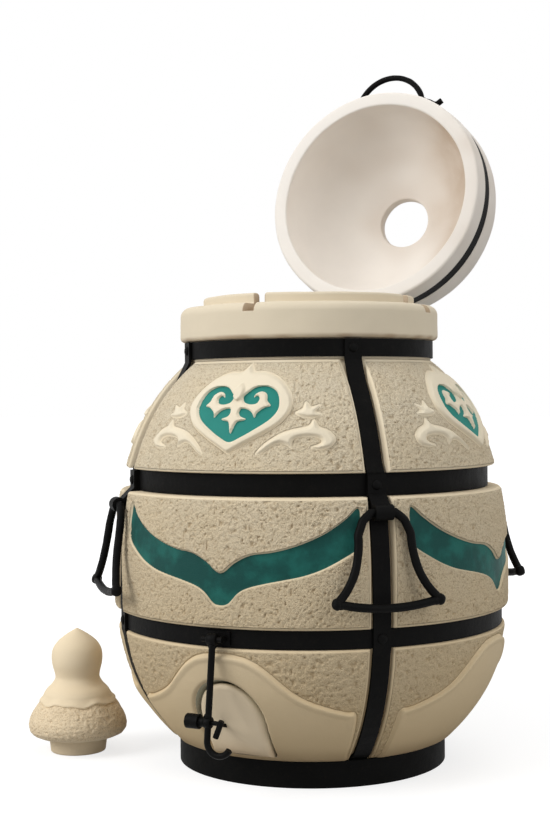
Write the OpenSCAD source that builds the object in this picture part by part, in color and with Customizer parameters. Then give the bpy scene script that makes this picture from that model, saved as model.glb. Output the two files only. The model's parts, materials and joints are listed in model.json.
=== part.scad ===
// Clay tandoor oven in an iron cage, with its lid laid open and the lid's cap standing beside it.
// Frame: +Z up, origin at the centre of the base ring's underside, the ash door towards -Y,
// the lid hinge towards +Y. All lengths are in millimetres.

/* [Pot] */
// Widest radius of the clay pot
pot_r = 296; // [280:1:310]
// Height of the widest place above the floor
pot_waist_z = 300; // [290:1:310]
// Radius that the belly narrows to at the base ring
foot_r = 196; // [190:1:210]
// Radius that the belly narrows to at the shoulder
shoulder_r = 176; // [172:1:180]
// Height where the belly's curve ends under the neck
shoulder_z = 600; // [597:1:604]
// Thickness of the clay wall
wall_t = 50; // [35:1:60]
// Height of the cavity floor, which is also the sill of the ash opening
floor_z = 46; // [35:1:50]
// Radius of the neck under its band
neck_r = 182.5; // [181:0.5:184]

/* [Rim] */
// Outer radius of the rim
rim_r = 193.5; // [190:0.5:196]
// Height of the rim's underside
rim_bottom_z = 624.5; // [624:0.5:630]
// Height of the rim's shoulder, where the closed lid's face rests
rim_top_z = 675.5; // [670:0.5:682]
// Fillet radius of the rim's top edge
rim_fillet = 13; // [6:1:15]
// Fillet radius of the rim's lower edge
rim_low_fillet = 7; // [3:1:9]
// Outer radius of the raised lip
lip_r = 158.5; // [156:0.5:160]
// Height of the lip above the rim's shoulder
lip_h = 15; // [8:1:20]
// Fillet radius of the lip's edges
lip_fillet = 5; // [2:1:6]
// Radius of the mouth
mouth_r = 143; // [138:1:146]
// Width of the four radial slots in the lip and rim
slot_w = 16; // [8:1:20]
// Depth of the slots below the rim's shoulder
slot_depth = 12.5; // [6:0.5:18]

/* [Iron cage] */
// Thickness of the flat bar that the hoops and straps are made of
bar_t = 4; // [3:0.5:5]
// Width of the four upright straps
strap_w = 25; // [20:1:30]
// Width of the clay channels that the straps lie in
channel_w = 33; // [31:1:38]
// Outer radius of the base ring
base_ring_r = 200; // [197:1:204]
// Height of the base ring
base_ring_h = 37; // [30:1:42]
// Thickness of the cross bars
cross_t = 5; // [3:0.5:8]
// Outer radius of the lower band
lower_band_r = 286; // [284:0.5:288]
// Height of the lower band's lower edge
lower_band_z = 207; // [203:1:211]
// Width of the lower band
lower_band_w = 25; // [20:1:28]
// Outer radius of the upper band
upper_band_r = 266.5; // [265:0.5:268]
// Height of the upper band's lower edge
upper_band_z = 408.5; // [406:0.5:411]
// Width of the upper band
upper_band_w = 30; // [25:1:34]
// Height of the neck band's lower edge
neck_band_z = 598; // [597:0.5:599]
// Width of the neck band
neck_band_w = 25; // [22:0.5:25.5]
// Play above and below each band in its groove
groove_gap = 1; // [0.5:0.5:3]
// Height of the bevel from a groove to the panel surface
groove_bevel = 5; // [2:1:8]
// Radius of a rivet's shank
rivet_r = 3; // [2:0.5:4]
// Radius of a rivet's domed head
rivet_head_r = 7; // [5:0.5:8]
// Height of a rivet's domed head
rivet_head_h = 3.5; // [2:0.5:5]

/* [Ornament] */
// Depth of the inlaid wings below the panel surface
wing_depth = 4; // [2:0.5:6]
// Height of the heart medallions above the panel surface
heart_proud = 6; // [3:0.5:8]
// Depth of the heart's inlaid field below its border
heart_sunk = 6; // [2:0.5:8]

/* [Carrying handles] */
// Radius of the circle on which the handle pivots lie
bail_pivot_r = 296; // [294:0.5:300]
// Height of the handle pivots
bail_pivot_z = 388; // [385:1:391]
// Diameter of the handle rod
bail_rod_d = 12; // [9:0.5:13]
// Spacing of the two legs at the pivot
bail_top_w = 40; // [39:0.5:46]
// Spacing of the two lower corners
bail_corner_w = 145; // [120:1:160]
// Drop from the pivot to the lower corners
bail_drop = 117; // [100:1:125]
// Sag of the grip bar below the corners
bail_sag = 9; // [4:1:14]
// Outward lean of a hanging handle in degrees
bail_lean = 9; // [7:0.5:14]
// Width of the curled strip that holds the handle
bracket_w = 26; // [20:0.5:26]
// Wall of the curled strip around the handle rod
bracket_wall = 4.5; // [3:0.5:5]
// Running clearance of pivots on the radius
pivot_play = 0.06; // [0.03:0.01:0.1]

/* [Ash door] */
// Half width of the ash opening at the pot's surface
ash_r = 58.5; // [52:0.5:62]
// Height where the opening's straight sides turn into its arch
ash_spring_z = 107; // [102:1:110]
// Inward taper of the opening's sides, per millimetre of depth
ash_side_taper = 0.12; // [0.08:0.01:0.16]
// Inward fall of the opening's crown beyond its side taper, per millimetre of depth
ash_crown_fall = 0.16; // [0.14:0.01:0.2]
// Gap between the door and the opening
ash_gap = 3; // [2.5:0.5:5]
// Gap under the door
ash_sill_gap = 0.4; // [0.3:0.1:1]
// Thickness of the clay door, front to back
door_t = 45; // [38:1:46]
// Distance of the door's face from the axis, at its foot
door_foot_y = 225; // [220:1:228]
// Distance of the door's face from the axis, at its crown
door_crown_y = 283; // [280:1:285]

/* [Door arm] */
// Distance of the arm's eye from the pot's axis
eye_y = 302; // [300:0.5:306]
// Distance of the latch pin from the pot's axis
latch_y = 308; // [306:0.5:312]
// Height of the latch pin
latch_z = 109; // [106:1:112]
// Diameter of the arm's rod
arm_d = 9.5; // [8:0.5:10]
// Sideways lean of the arm between its eye and the hook
arm_lean_x = 5; // [2:1:7]
// Height of the centre of the hook's bend
hook_z = 84; // [82:1:86]
// Radius of the hook's bend at the rod's centre line
hook_r = 18; // [17:0.5:20]
// Angle that the hook's bend turns through
hook_turn = 150; // [120:5:160]
// Diameter of the eye's bar
eye_bar_d = 8; // [6:0.5:9]
// Length of the arm's knuckle
eye_w = 14; // [10:0.5:16]
// Diameter of the latch pin
latch_d = 6; // [5:0.5:6.5]
// Diameter of the latch pin's bent leg
latch_leg_d = 8; // [7:0.5:8.5]
// Length of the latch pin's bent leg
latch_leg = 21; // [20:1:30]
// How far the bent leg's lower end slants towards the arm
latch_leg_shift = 8; // [4:0.5:9]
// Distance of the bent leg from the arm's centre line
latch_leg_x = 19; // [16.5:0.5:19]
// Diameter of the latch knob
knob_d = 20; // [16:1:24]
// Length of the latch knob
knob_l = 19; // [14:1:24]
// Gap between the arm's boss and the knob
knob_gap = 8; // [4:1:12]

/* [Lid] */
// Outer radius of the lid's face
lid_r = 184; // [182:0.5:186]
// Outer radius of the lid above its band
lid_side_r = 186; // [184:0.5:188]
// Height of the lid's upright side above its face
lid_side_h = 74; // [66:1:80]
// Height of the lid's crown above its face
lid_h = 172; // [166:1:180]
// Radius of the socket in the lid's face that takes the lip
lid_socket_r = 161; // [160.5:0.5:163]
// Play above the lip in the lid's socket
lid_socket_play = 2; // [1:0.5:4]
// Height of the lid's inside above its face, at the vent hole
lid_inner_h = 140; // [132:1:142]
// Radius of the vent hole
vent_r = 43.5; // [43.5:0.5:45]
// Length of the vent hole's straight part
vent_l = 18; // [12:1:22]
// Radius of the flare at the vent hole's outer end
vent_flare_r = 50; // [49:0.5:54]
// Height of the lid band's lower edge above the lid's face
lid_band_z = 32; // [30:1:36]
// Width of the lid band
lid_band_w = 20; // [16:1:24]
// Depth of the lid band's outer face below the lid's surface
lid_band_sunk = 1.5; // [1:0.5:2]
// Play of the closed lid above the rim
lid_rest = 0.3; // [0.2:0.1:0.6]
// Angle of the open lid from the closed lid in degrees
lid_open = 102.4; // [100:0.1:104]

/* [Lid handle] */
// Diameter of the lid handle's rod
grip_d = 10; // [8:0.5:11]
// Rise of the bow above the lid band
grip_rise = 37; // [30:1:42]
// Span of the bow between its feet
grip_span = 116; // [100:1:124]
// Distance from a foot of the bow to the handle's curled end
grip_tail = 25; // [18:1:28]

/* [Lid hinge] */
// Distance of the hinge axis from the pot's axis
hinge_y = 203; // [202.5:0.5:204]
// Diameter of the hinge pin
hinge_pin_d = 10; // [8:0.5:11]
// Outer radius of the hinge knuckle
knuckle_r = 10; // [9:0.5:10.5]
// Width of the lid's hinge leaf
leaf_w = 38; // [30:1:44]
// Thickness of the lid's hinge leaf
leaf_t = 6; // [5:0.5:7]
// Thickness of the two hinge cheeks
cheek_t = 5; // [4:0.5:6]
// Play between the leaf and each cheek
cheek_gap = 1.5; // [0.5:0.5:3]
// Diameter of the stop bar that the open lid's leaf rests on
stop_d = 10; // [8:0.5:11]
// Gap between the resting leaf and the stop bar
stop_gap = 0.3; // [0.2:0.05:0.4]

/* [Fire grate] */
// Radius of the fire grate
grate_r = 125; // [110:1:130]
// Height of the grate's top above the cavity floor
grate_h = 57; // [45:1:70]
// Thickness of the grate
grate_t = 8; // [6:1:12]
// Width of the grate's bars
grate_bar_w = 9; // [7:1:12]
// Spacing of the grate's bars
grate_pitch = 22; // [18:1:28]
// Radius of the grate's legs
grate_leg_r = 7; // [5:0.5:9]

/* [Cap] */
// Place of the cap beside the pot, along X
cap_x = -338; // [-350:1:-338]
// Place of the cap beside the pot, along Y
cap_y = -132; // [-140:1:-125]
// Radius of the cap's spigot at its foot
spigot_r = 42; // [38:0.5:43]
// Radius of the cap's spigot under the skirt
spigot_top_r = 45; // [44:0.5:47]
// Height of the cap's spigot
spigot_h = 24; // [18:1:28]
// Radius of the cap's rough skirt
skirt_r = 76.5; // [70:0.5:80]
// Height of the cap's rough skirt
skirt_h = 56; // [50:1:60]
// Radius of the smooth collar where it meets the skirt
collar_r = 51.5; // [48:0.5:56]
// Height from the skirt to the neck under the knob
collar_h = 35; // [34:1:42]
// Radius of the neck under the knob
cap_neck_r = 33.5; // [32:0.5:37]
// Radius of the pointed knob
cap_knob_r = 39; // [38.5:0.5:42]
// Height of the knob above its widest place
cap_knob_h = 41; // [38:1:44]
// Height of the whole cap
cap_h = 189; // [184:1:194]

/* [Hidden] */
$fn = 96;
over = 1;
quarter = 90;
strap_at = [-45, 45, 135, -135];
column_at = [0, 90, 180, -90];
// Shape of the pot's curve
foot_flare = 7;
foot_power = 3;
round_power = 2;
drop_power = 6;
round_share = 0.7;
belly_step = 15;
// Small gaps: round the base ring, and between a piece and its seat
foot_gap = 0.5;
seat_gap = 0.3;
clay_foot_z = cross_t;
foot_seat_z = base_ring_h + foot_gap;
strap_foot_r = base_ring_r - 2 * bar_t - foot_gap;
neck_band_r = neck_r + bar_t;
neck_ledge = 4;
belly_top_z = neck_band_z - neck_ledge;
lip_top_z = rim_top_z + lip_h;
cream = [0.86, 0.80, 0.70];
iron = [0.08, 0.08, 0.085];

// Pot curve: a cubic below the waist, a rounder blend above it.
function fall_below(z) = pow((pot_waist_z - z) / (pot_waist_z - base_ring_h), foot_power);
function rise_share(z) = (z - pot_waist_z) / (shoulder_z - pot_waist_z);
function fall_above(s) = round_share * pow(s, round_power) + (1 - round_share) * pow(s, drop_power);
function belly_r(z) = z < pot_waist_z
    ? foot_r + foot_flare + (pot_r - foot_r - foot_flare) * (1 - fall_below(z))
    : pot_r - (pot_r - shoulder_r) * fall_above(rise_share(z));

function steps(z0, z1) = max(2, ceil((z1 - z0) / belly_step));
function belly(z0, z1, inset = 0) =
    [for (i = [0:steps(z0, z1)]) let(z = z0 + (z1 - z0) * i / steps(z0, z1)) [belly_r(z) - inset, z]];
function arc(c, r, a0, a1, n = 6) =
    [for (i = [0:n]) let(a = a0 + (a1 - a0) * i / n) [c[0] + r * cos(a), c[1] + r * sin(a)]];
function backwards(p) = [for (i = [len(p) - 1:-1:0]) p[i]];
function unit(v) = v / norm(v);
function left_of(v) = [v[1], -v[0]];

// Offset of an open run of points to its outer side, with mitred corners.
function run_dir(p, i) = unit(p[min(i + 1, len(p) - 1)] - p[min(i, len(p) - 2)]);
function run_side(p, i, t) =
    let(a = left_of(run_dir(p, max(i - 1, 0))), b = left_of(run_dir(p, i)), m = unit(a + b))
    p[i] + m * t / (m * a);
function run_offset(p, t) = [for (i = [0:len(p) - 1]) run_side(p, i, t)];

// The straps lie over the bands, so the bands set how deep they sink in the clay.
lower_mid_z = lower_band_z + lower_band_w / 2;
upper_mid_z = upper_band_z + upper_band_w / 2;
lower_sunk = belly_r(lower_mid_z) - lower_band_r;
upper_sunk = belly_r(upper_mid_z) - upper_band_r;
function sunk_share(z) = min(1, max(0, (z - lower_mid_z) / (upper_mid_z - lower_mid_z)));
function strap_in_r(z) = belly_r(z) - lower_sunk - (upper_sunk - lower_sunk) * sunk_share(z);
// Where the strap bends out of the base ring, meets the pot's curve, and dives in under the neck
strap_foot_rise = 3;
strap_lead_in = 10;
strap_dive = 34;
strap_bend_z = base_ring_h + strap_foot_rise;
strap_rise_z = strap_bend_z + strap_lead_in;
strap_dive_z = belly_top_z - strap_dive;
strap_crest_z = belly_top_z - over;
lower_lead = 10;
upper_lead = 12;
function strap_span(z0, z1) = [for (i = [0:steps(z0, z1)])
    let(z = z0 + (z1 - z0) * i / steps(z0, z1)) [strap_in_r(z), z]];
lower_lap = [[lower_band_r, lower_band_z - over], [lower_band_r, lower_band_z + lower_band_w + over]];
upper_lap = [[upper_band_r, upper_band_z - over], [upper_band_r, upper_band_z + upper_band_w + over]];
strap_run = concat(
    [[strap_foot_r, clay_foot_z], [strap_foot_r, strap_bend_z]],
    strap_span(strap_rise_z, lower_band_z - lower_lead),
    lower_lap,
    strap_span(lower_band_z + lower_band_w + lower_lead, upper_band_z - upper_lead),
    upper_lap,
    strap_span(upper_band_z + upper_band_w + upper_lead, strap_dive_z),
    [[neck_band_r, strap_crest_z], [neck_band_r, neck_band_z + neck_band_w]]
);

// Turns a piece built at the front round to another place on the pot.
module at_azimuth(a) rotate([0, 0, a]) children();
// Outline in radius and height, given a width across the front.
module across(width) rotate([90, 0, -90]) linear_extrude(width, center = true) children();
// Outline in X and height, drawn out forwards from the pot's axis.
module outward(from, to) translate([0, -from, 0]) rotate([90, 0, 0]) linear_extrude(to - from) children();
// Cylinder along X.
module bar_x(r, length) rotate([0, 90, 0]) cylinder(r = r, h = length, center = true);
// Round rod between two points, with a round end at the second.
module rod(a, b, r) {
    v = b - a;
    translate(a)
        rotate([0, acos(v[2] / norm(v)), atan2(v[1], v[0])])
            cylinder(r = r, h = norm(v));
    translate(b) sphere(r = r);
}
module rods(points, r) for (i = [0:len(points) - 2]) rod(points[i], points[i + 1], r);

// ---- Clay pot ----
function groove(r, z, w) = [[r - bar_t, z - groove_gap], [r - bar_t, z + w + groove_gap]];
pot_outside = concat(
    [[0, clay_foot_z], [strap_foot_r, clay_foot_z], [strap_foot_r, foot_seat_z]],
    belly(foot_seat_z, lower_band_z - groove_gap - groove_bevel),
    groove(lower_band_r, lower_band_z, lower_band_w),
    belly(lower_band_z + lower_band_w + groove_gap + groove_bevel, upper_band_z - groove_gap - groove_bevel),
    groove(upper_band_r, upper_band_z, upper_band_w),
    belly(upper_band_z + upper_band_w + groove_gap + groove_bevel, belly_top_z),
    [[neck_r, belly_top_z + over], [neck_r, rim_bottom_z]],
    arc([rim_r - rim_low_fillet, rim_bottom_z + rim_low_fillet], rim_low_fillet, -90, 0),
    arc([rim_r - rim_fillet, rim_top_z - rim_fillet], rim_fillet, 0, 90),
    [[lip_r, rim_top_z]],
    arc([lip_r - lip_fillet, lip_top_z - lip_fillet], lip_fillet, 0, 90),
    arc([mouth_r + lip_fillet, lip_top_z - lip_fillet], lip_fillet, 90, 180)
);
// Height under the neck where the belly's inside has narrowed to the mouth.
throat_drop = 22;
throat_z = shoulder_z - throat_drop;
pot_inside = backwards(belly(floor_z, throat_z, wall_t));

module pot_revolve() rotate_extrude() polygon(concat(pot_outside, [[mouth_r, throat_z + over]], pot_inside,
    [[0, floor_z]]));
module belly_core(inset) rotate_extrude() polygon(concat([[0, base_ring_h]],
    belly(foot_seat_z, belly_top_z, inset), [[0, belly_top_z]]));

// Ornament outlines in X and height: the right half from the top to the foot.
wing_half = [
    [0, 308], [15, 321], [36, 331], [60, 337], [85, 342], [110, 350], [135, 362], [160, 378], [174, 391],
    [178, 386], [179, 350], [175, 337], [160, 325], [135, 312], [110, 304], [85, 299], [60, 295], [40, 288],
    [24, 277], [12, 266], [0, 263]
];
heart_half = [
    [0, 566], [16, 574], [38, 575], [60, 567], [78, 551], [84, 535], [80, 519], [64, 503], [36, 487],
    [0, 467]
];
field_half = [
    [0, 551], [14, 557], [36, 559], [55, 552], [67, 538], [68, 529], [60, 516], [46, 506], [24, 494],
    [0, 481]
];
function mirrored(half) = concat(half, [for (p = backwards(half)) if (p[0] > 0) [-p[0], p[1]]]);

wing_reach = 60;
module wing_cut() difference() {
    outward(pot_r - wing_reach, pot_r + over) polygon(mirrored(wing_half));
    belly_core(wing_depth);
}
// The relief reaches only a little way into the wall, and stays clear of the cavity.
relief_in = 10;
module heart_relief() difference() {
    intersection() {
        outward(mouth_r, pot_r) polygon(mirrored(heart_half));
        belly_core(-heart_proud);
    }
    belly_core(relief_in);
}
module heart_cut() difference() {
    outward(mouth_r, pot_r) polygon(mirrored(field_half));
    belly_core(heart_sunk - heart_proud);
}

// Ash opening: an arch that narrows and falls towards the inside.
function arch_r(y) = ash_r - (pot_r - y) * ash_side_taper;
function arch_z(y) = ash_spring_z - (pot_r - y) * ash_crown_fall;
module arch(y, shrink, sill) outward(y, y + over) union() {
    intersection() {
        translate([0, arch_z(y)]) circle(r = arch_r(y) - shrink, $fn = 48);
        translate([-pot_r, sill]) square([2 * pot_r, pot_r]);
    }
    translate([shrink - arch_r(y), sill]) square([2 * (arch_r(y) - shrink), arch_z(y) - sill]);
}
module arch_taper(y0, y1, shrink, sill) hull() {
    arch(y0, shrink, sill);
    arch(y1, shrink, sill);
}

module channel_cut() across(channel_w)
    polygon(concat(strap_run, [[pot_r + over, neck_band_z + neck_band_w], [pot_r + over, clay_foot_z]]));
module slot_cut() translate([-slot_w / 2, -rim_r - over, rim_top_z - slot_depth])
    cube([slot_w, rim_r + over, lip_h + slot_depth + over]);

module clay_body() color(cream) difference() {
    union() {
        pot_revolve();
        for (a = column_at) at_azimuth(a) heart_relief();
    }
    for (a = column_at) at_azimuth(a) {
        heart_cut();
        wing_cut();
        slot_cut();
    }
    for (a = strap_at) at_azimuth(a) channel_cut();
    arch_taper(mouth_r, pot_r + over, 0, floor_z);
}

// ---- Iron cage ----
module hoop(r, z, w) difference() {
    translate([0, 0, z]) cylinder(r = r, h = w);
    translate([0, 0, z - over]) cylinder(r = r - bar_t, h = w + 2 * over);
}
module rivet_holes(r, z) for (a = strap_at) at_azimuth(a) outward(r - 3 * bar_t, r + 3 * bar_t)
    translate([0, z]) circle(r = rivet_r);
module riveted_hoop(r, z, w) color(iron) difference() {
    hoop(r, z, w);
    rivet_holes(r, z + w / 2);
}

module base_ring() color(iron) hoop(base_ring_r, 0, base_ring_h);
module base_cross() color(iron) intersection() {
    for (a = [-45, 45]) rotate([0, 0, a])
        translate([-strap_w / 2, -base_ring_r, 0]) cube([strap_w, 2 * base_ring_r, cross_t]);
    cylinder(r = base_ring_r - bar_t, h = base_ring_h);
}
// Holes for the hinge's rivets, through what lies at the back at one height.
module back_holes(z) for (x = hinge_rivet_x) translate([x, 0, z]) rotate([-90, 0, 0])
    cylinder(r = rivet_r, h = 2 * rim_r);
module lower_band() riveted_hoop(lower_band_r, lower_band_z, lower_band_w);
module upper_band() riveted_hoop(upper_band_r, upper_band_z, upper_band_w);
neck_mid_z = neck_band_z + neck_band_w / 2;
module neck_band() color(iron) difference() {
    hoop(neck_band_r, neck_band_z, neck_band_w);
    rivet_holes(neck_band_r, neck_mid_z);
    back_holes(neck_mid_z);
}

module strap() color(iron) difference() {
    across(strap_w) polygon(concat(strap_run, backwards(run_offset(strap_run, bar_t))));
    for (p = crossings) outward(p[0] - over, p[0] + bar_t + over) translate([0, p[1]]) circle(r = rivet_r);
}
crossings = [[lower_band_r, lower_mid_z], [upper_band_r, upper_mid_z], [neck_band_r, neck_mid_z]];
module strap_front_left() at_azimuth(strap_at[0]) strap();
module strap_front_right() at_azimuth(strap_at[1]) strap();
module strap_back_right() at_azimuth(strap_at[2]) strap();
module strap_back_left() at_azimuth(strap_at[3]) strap();

// Rivet along the radius: its shank from one radius to another, its dome outside the second.
module rivet(z, r0, r1) translate([0, 0, z]) rotate([90, 0, 0]) {
    translate([0, 0, r0]) cylinder(r = rivet_r, h = r1 - r0, $fn = 24);
    translate([0, 0, r1]) rotate_extrude($fn = 32)
        polygon(concat([[0, 0], [rivet_head_r, 0]], [for (i = [1:5])
            [rivet_head_r * cos(quarter * i / 5), rivet_head_h * sin(quarter * i / 5)]]));
}
// The upper crossing's rivet also holds the handle bracket, so its head lies on the bracket.
module strap_rivets() color(iron) for (a = strap_at) at_azimuth(a) {
    rivet(lower_mid_z, lower_band_r - bar_t, lower_band_r + bar_t);
    rivet(neck_mid_z, neck_band_r - bar_t, neck_band_r + bar_t);
}
module bracket_rivets() color(iron) for (a = strap_at) at_azimuth(a)
    rivet(upper_mid_z, upper_band_r - bar_t, upper_band_r + 2 * bar_t);

// ---- Carrying handles ----
// Share of the widening from the top leg spacing to the corners, down the handle's drop.
bell_neck = 0.32;
bell_neck_end = 0.25;
bell_neck_power = 0.6;
bell_flare_power = 3.5;
function bell(s) = bell_neck * pow(min(1, s / bell_neck_end), bell_neck_power)
    + (1 - bell_neck) * pow(s, bell_flare_power);
leg_steps = 10;
bail_rod_r = bail_rod_d / 2;
bail_pin_l = bracket_w + over;
function leg_x(s) = bail_top_w / 2 + (bail_corner_w - bail_top_w) / 2 * bell(s);
bail_leg = [for (i = [0:leg_steps]) [leg_x(i / leg_steps), 0, -bail_drop * i / leg_steps]];
bail_grip = [for (s = [0.5, 0]) [s * bail_corner_w / 2, 0, -bail_drop - bail_sag * (1 - s * s)]];
function flipped(p) = [for (q = backwards(p)) if (q[0] > 0) [-q[0], q[1], q[2]]];
bail_half = concat([[bail_pin_l / 2, 0, 0]], bail_leg, bail_grip);
bail_path = concat(bail_half, flipped(bail_half));

// Round rod bent in the plane whose normal is given, mitred at each corner.
rod_sides = 12;
function turn_at(p, i) =
    let(m = max(i, 1), n = min(i, len(p) - 2), a = unit(p[m] - p[m - 1]), b = unit(p[n + 1] - p[n]))
    [a, unit(a + b)];
function rod_ring(p, i, n, r) =
    let(t = turn_at(p, i), u = cross(n, t[1]) / (t[1] * t[0]))
    [for (j = [0:rod_sides - 1]) let(a = 360 * j / rod_sides) p[i] + r * (cos(a) * n + sin(a) * u)];
module bent_rod(p, n, r) {
    last = len(p) - 1;
    points = [for (i = [0:last]) each rod_ring(p, i, n, r)];
    sides = [for (i = [0:last - 1], j = [0:rod_sides - 1])
        let(k = (j + 1) % rod_sides, a = i * rod_sides, b = a + rod_sides)
        each [[a + j, a + k, b + k], [a + j, b + k, b + j]]];
    start = [for (j = [rod_sides - 1:-1:0]) j];
    end = [for (j = [0:rod_sides - 1]) last * rod_sides + j];
    polyhedron(points, concat([start, end], sides));
}

module bail() color(iron) translate([0, -bail_pivot_r, bail_pivot_z]) rotate([-bail_lean, 0, 0]) {
    bar_x(bail_rod_r, bail_pin_l + over);
    bent_rod(bail_path, [0, 1, 0], bail_rod_r);
}
module bail_front_left() at_azimuth(strap_at[0]) bail();
module bail_front_right() at_azimuth(strap_at[1]) bail();
module bail_back_right() at_azimuth(strap_at[2]) bail();
module bail_back_left() at_azimuth(strap_at[3]) bail();

// Strip riveted over the crossing of strap and upper band, curled round the handle's top bar.
curl_r = bail_rod_r + pivot_play + bracket_wall;
strip_in_r = upper_band_r + bar_t;
strip_out_r = strip_in_r + bar_t;
strip_top_z = upper_band_z + upper_band_w - over;
strip_ease = 2;
strip_bend_z = upper_band_z + strip_ease;
// Where the strip's two faces run into the curl, in degrees round it
curl_low = 165;
curl_high = 120;
function on_curl(a) = [bail_pivot_r, bail_pivot_z] + (curl_r - bracket_wall / 4) * [cos(a), sin(a)];
module bracket() color(iron) difference() {
    across(bracket_w) {
        polygon([
            [strip_in_r, strip_top_z], [strip_in_r, strip_bend_z], on_curl(curl_low), on_curl(curl_high),
            [strip_out_r, strip_bend_z + strip_ease], [strip_out_r, strip_top_z]
        ]);
        translate([bail_pivot_r, bail_pivot_z]) circle(r = curl_r);
    }
    translate([0, -bail_pivot_r, bail_pivot_z]) bar_x(bail_rod_r + pivot_play, 2 * bracket_w);
    outward(strip_in_r - over, strip_out_r + over) translate([0, upper_mid_z]) circle(r = rivet_r);
}
module bracket_front_left() at_azimuth(strap_at[0]) bracket();
module bracket_front_right() at_azimuth(strap_at[1]) bracket();
module bracket_back_right() at_azimuth(strap_at[2]) bracket();
module bracket_back_left() at_azimuth(strap_at[3]) bracket();

// ---- Fire grate, standing on its legs on the cavity floor ----
grate_rim_w = 10;
grate_low_z = floor_z + grate_h - grate_t;
grate_leg_at = grate_r - grate_leg_r;
grate_bar_n = floor((grate_r - grate_rim_w) / grate_pitch);
module fire_grate() color(iron) translate([0, 0, grate_low_z]) {
    difference() {
        cylinder(r = grate_r, h = grate_t);
        translate([0, 0, -over]) cylinder(r = grate_r - grate_rim_w, h = grate_t + 2 * over);
    }
    intersection() {
        cylinder(r = grate_r - over, h = grate_t);
        union() {
            for (i = [-grate_bar_n:grate_bar_n])
                translate([i * grate_pitch - grate_bar_w / 2, -grate_r, 0])
                    cube([grate_bar_w, 2 * grate_r, grate_t]);
            translate([-grate_r, -grate_bar_w / 2, 0]) cube([2 * grate_r, grate_bar_w, grate_t]);
        }
    }
}
// Legs welded under the grate's rim.
module grate_legs() color(iron) for (a = strap_at) rotate([0, 0, a])
    translate([0, grate_leg_at, floor_z + seat_gap])
        cylinder(r = grate_leg_r, h = grate_low_z - floor_z - seat_gap);

// ---- Ash door, its strap and its hanging arm ----
door_low_z = floor_z + ash_sill_gap;
door_crown_z = ash_spring_z + ash_r - ash_gap;
door_slope = (door_crown_y - door_foot_y) / (door_crown_z - door_low_z);
function door_face(z) = door_foot_y + (z - door_low_z) * door_slope;
module ash_door() color(cream) difference() {
    intersection() {
        arch_taper(mouth_r, pot_r, ash_gap, door_low_z);
        across(2 * pot_r) polygon([
            [door_face(door_low_z) - door_t, door_low_z], [door_face(door_low_z), door_low_z],
            [door_face(door_crown_z), door_crown_z], [door_face(door_crown_z) - door_t, door_crown_z]
        ]);
    }
    door_tongue();
}

eye_z = lower_mid_z;
eye_bar_r = eye_bar_d / 2;
eye_wall = 4;
eye_play = 1;
eye_bar_l = eye_w + eye_play + eye_bar_d;
arm_r = arm_d / 2;
arm_l = norm([latch_y - eye_y, eye_z - latch_z]);
arm_tilt = atan2(latch_y - eye_y, eye_z - latch_z);
arm_hook_drop = eye_z - hook_z;
arm_latch_x = -arm_lean_x * (arm_l - eye_bar_d) / (arm_hook_drop - eye_bar_d);
boss_r = 8;
boss_w = 10;
hook_steps = 10;
hook_arc = [for (i = [0:hook_steps]) let(a = 180 + hook_turn * i / hook_steps)
    [hook_r - arm_lean_x + hook_r * cos(a), 0, hook_r * sin(a) - arm_hook_drop]];
module on_arm() translate([0, -eye_y, eye_z]) rotate([-arm_tilt, 0, 0]) children();
module door_arm() color(iron) on_arm() difference() {
    union() {
        bar_x(eye_bar_r + pivot_play + eye_wall, eye_w);
        bent_rod(concat([[0, 0, -eye_bar_d]], hook_arc), [0, 1, 0], arm_r);
        translate([arm_latch_x, 0, -arm_l]) bar_x(boss_r, boss_w);
    }
    bar_x(eye_bar_r + pivot_play, 2 * eye_w);
    translate([arm_latch_x, 0, -arm_l]) bar_x(latch_d / 2 + pivot_play, 2 * boss_w);
}
// Staple welded to the lower band, whose bar is the arm's pivot.
pad_t = 3;
pad_r = lower_band_r + pad_t;
pad_w = 38;
pad_h = 19;
module door_eye() color(iron) {
    intersection() {
        difference() {
            translate([0, 0, eye_z - pad_h / 2]) cylinder(r = pad_r, h = pad_h);
            translate([0, 0, eye_z - pad_h]) cylinder(r = lower_band_r, h = 2 * pad_h);
        }
        outward(lower_band_r - bar_t, pad_r + over) translate([-pad_w / 2, 0]) square([pad_w, 2 * eye_z]);
    }
    translate([0, -eye_y, eye_z]) bar_x(eye_bar_r, eye_bar_l + eye_bar_d);
    for (x = [-1, 1]) outward(pad_r - over, eye_y)
        translate([x * eye_bar_l / 2, eye_z]) circle(r = eye_bar_r);
}

latch_r = latch_d / 2;
latch_leg_r = latch_leg_d / 2;
side_gap = 0.5;
leg_x0 = arm_latch_x + latch_leg_x;
latch_leg_lean = asin(latch_leg_shift / latch_leg);
knob_x = arm_latch_x - boss_w / 2 - knob_gap - knob_l / 2;
// The door's strap hangs on the pin between the knob and the arm's boss.
strap_x0 = arm_latch_x - boss_w / 2 - knob_gap + side_gap;
strap_x1 = arm_latch_x - boss_w / 2 - side_gap;
module at_latch() translate([0, -latch_y, latch_z]) children();
module latch_pin() color(iron) at_latch() {
    translate([knob_x - knob_l / 2, 0, 0]) rotate([0, 90, 0])
        cylinder(r = latch_r, h = leg_x0 - knob_x + knob_l / 2);
    translate([leg_x0, 0, 0]) rotate([0, latch_leg_lean, 0]) translate([0, 0, -latch_leg])
        cylinder(r = latch_leg_r, h = latch_leg + latch_leg_r);
}
module latch_knob() color(iron) at_latch() translate([knob_x, 0, 0]) difference() {
    bar_x(knob_d / 2, knob_l);
    bar_x(latch_r, 2 * knob_l);
}

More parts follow.
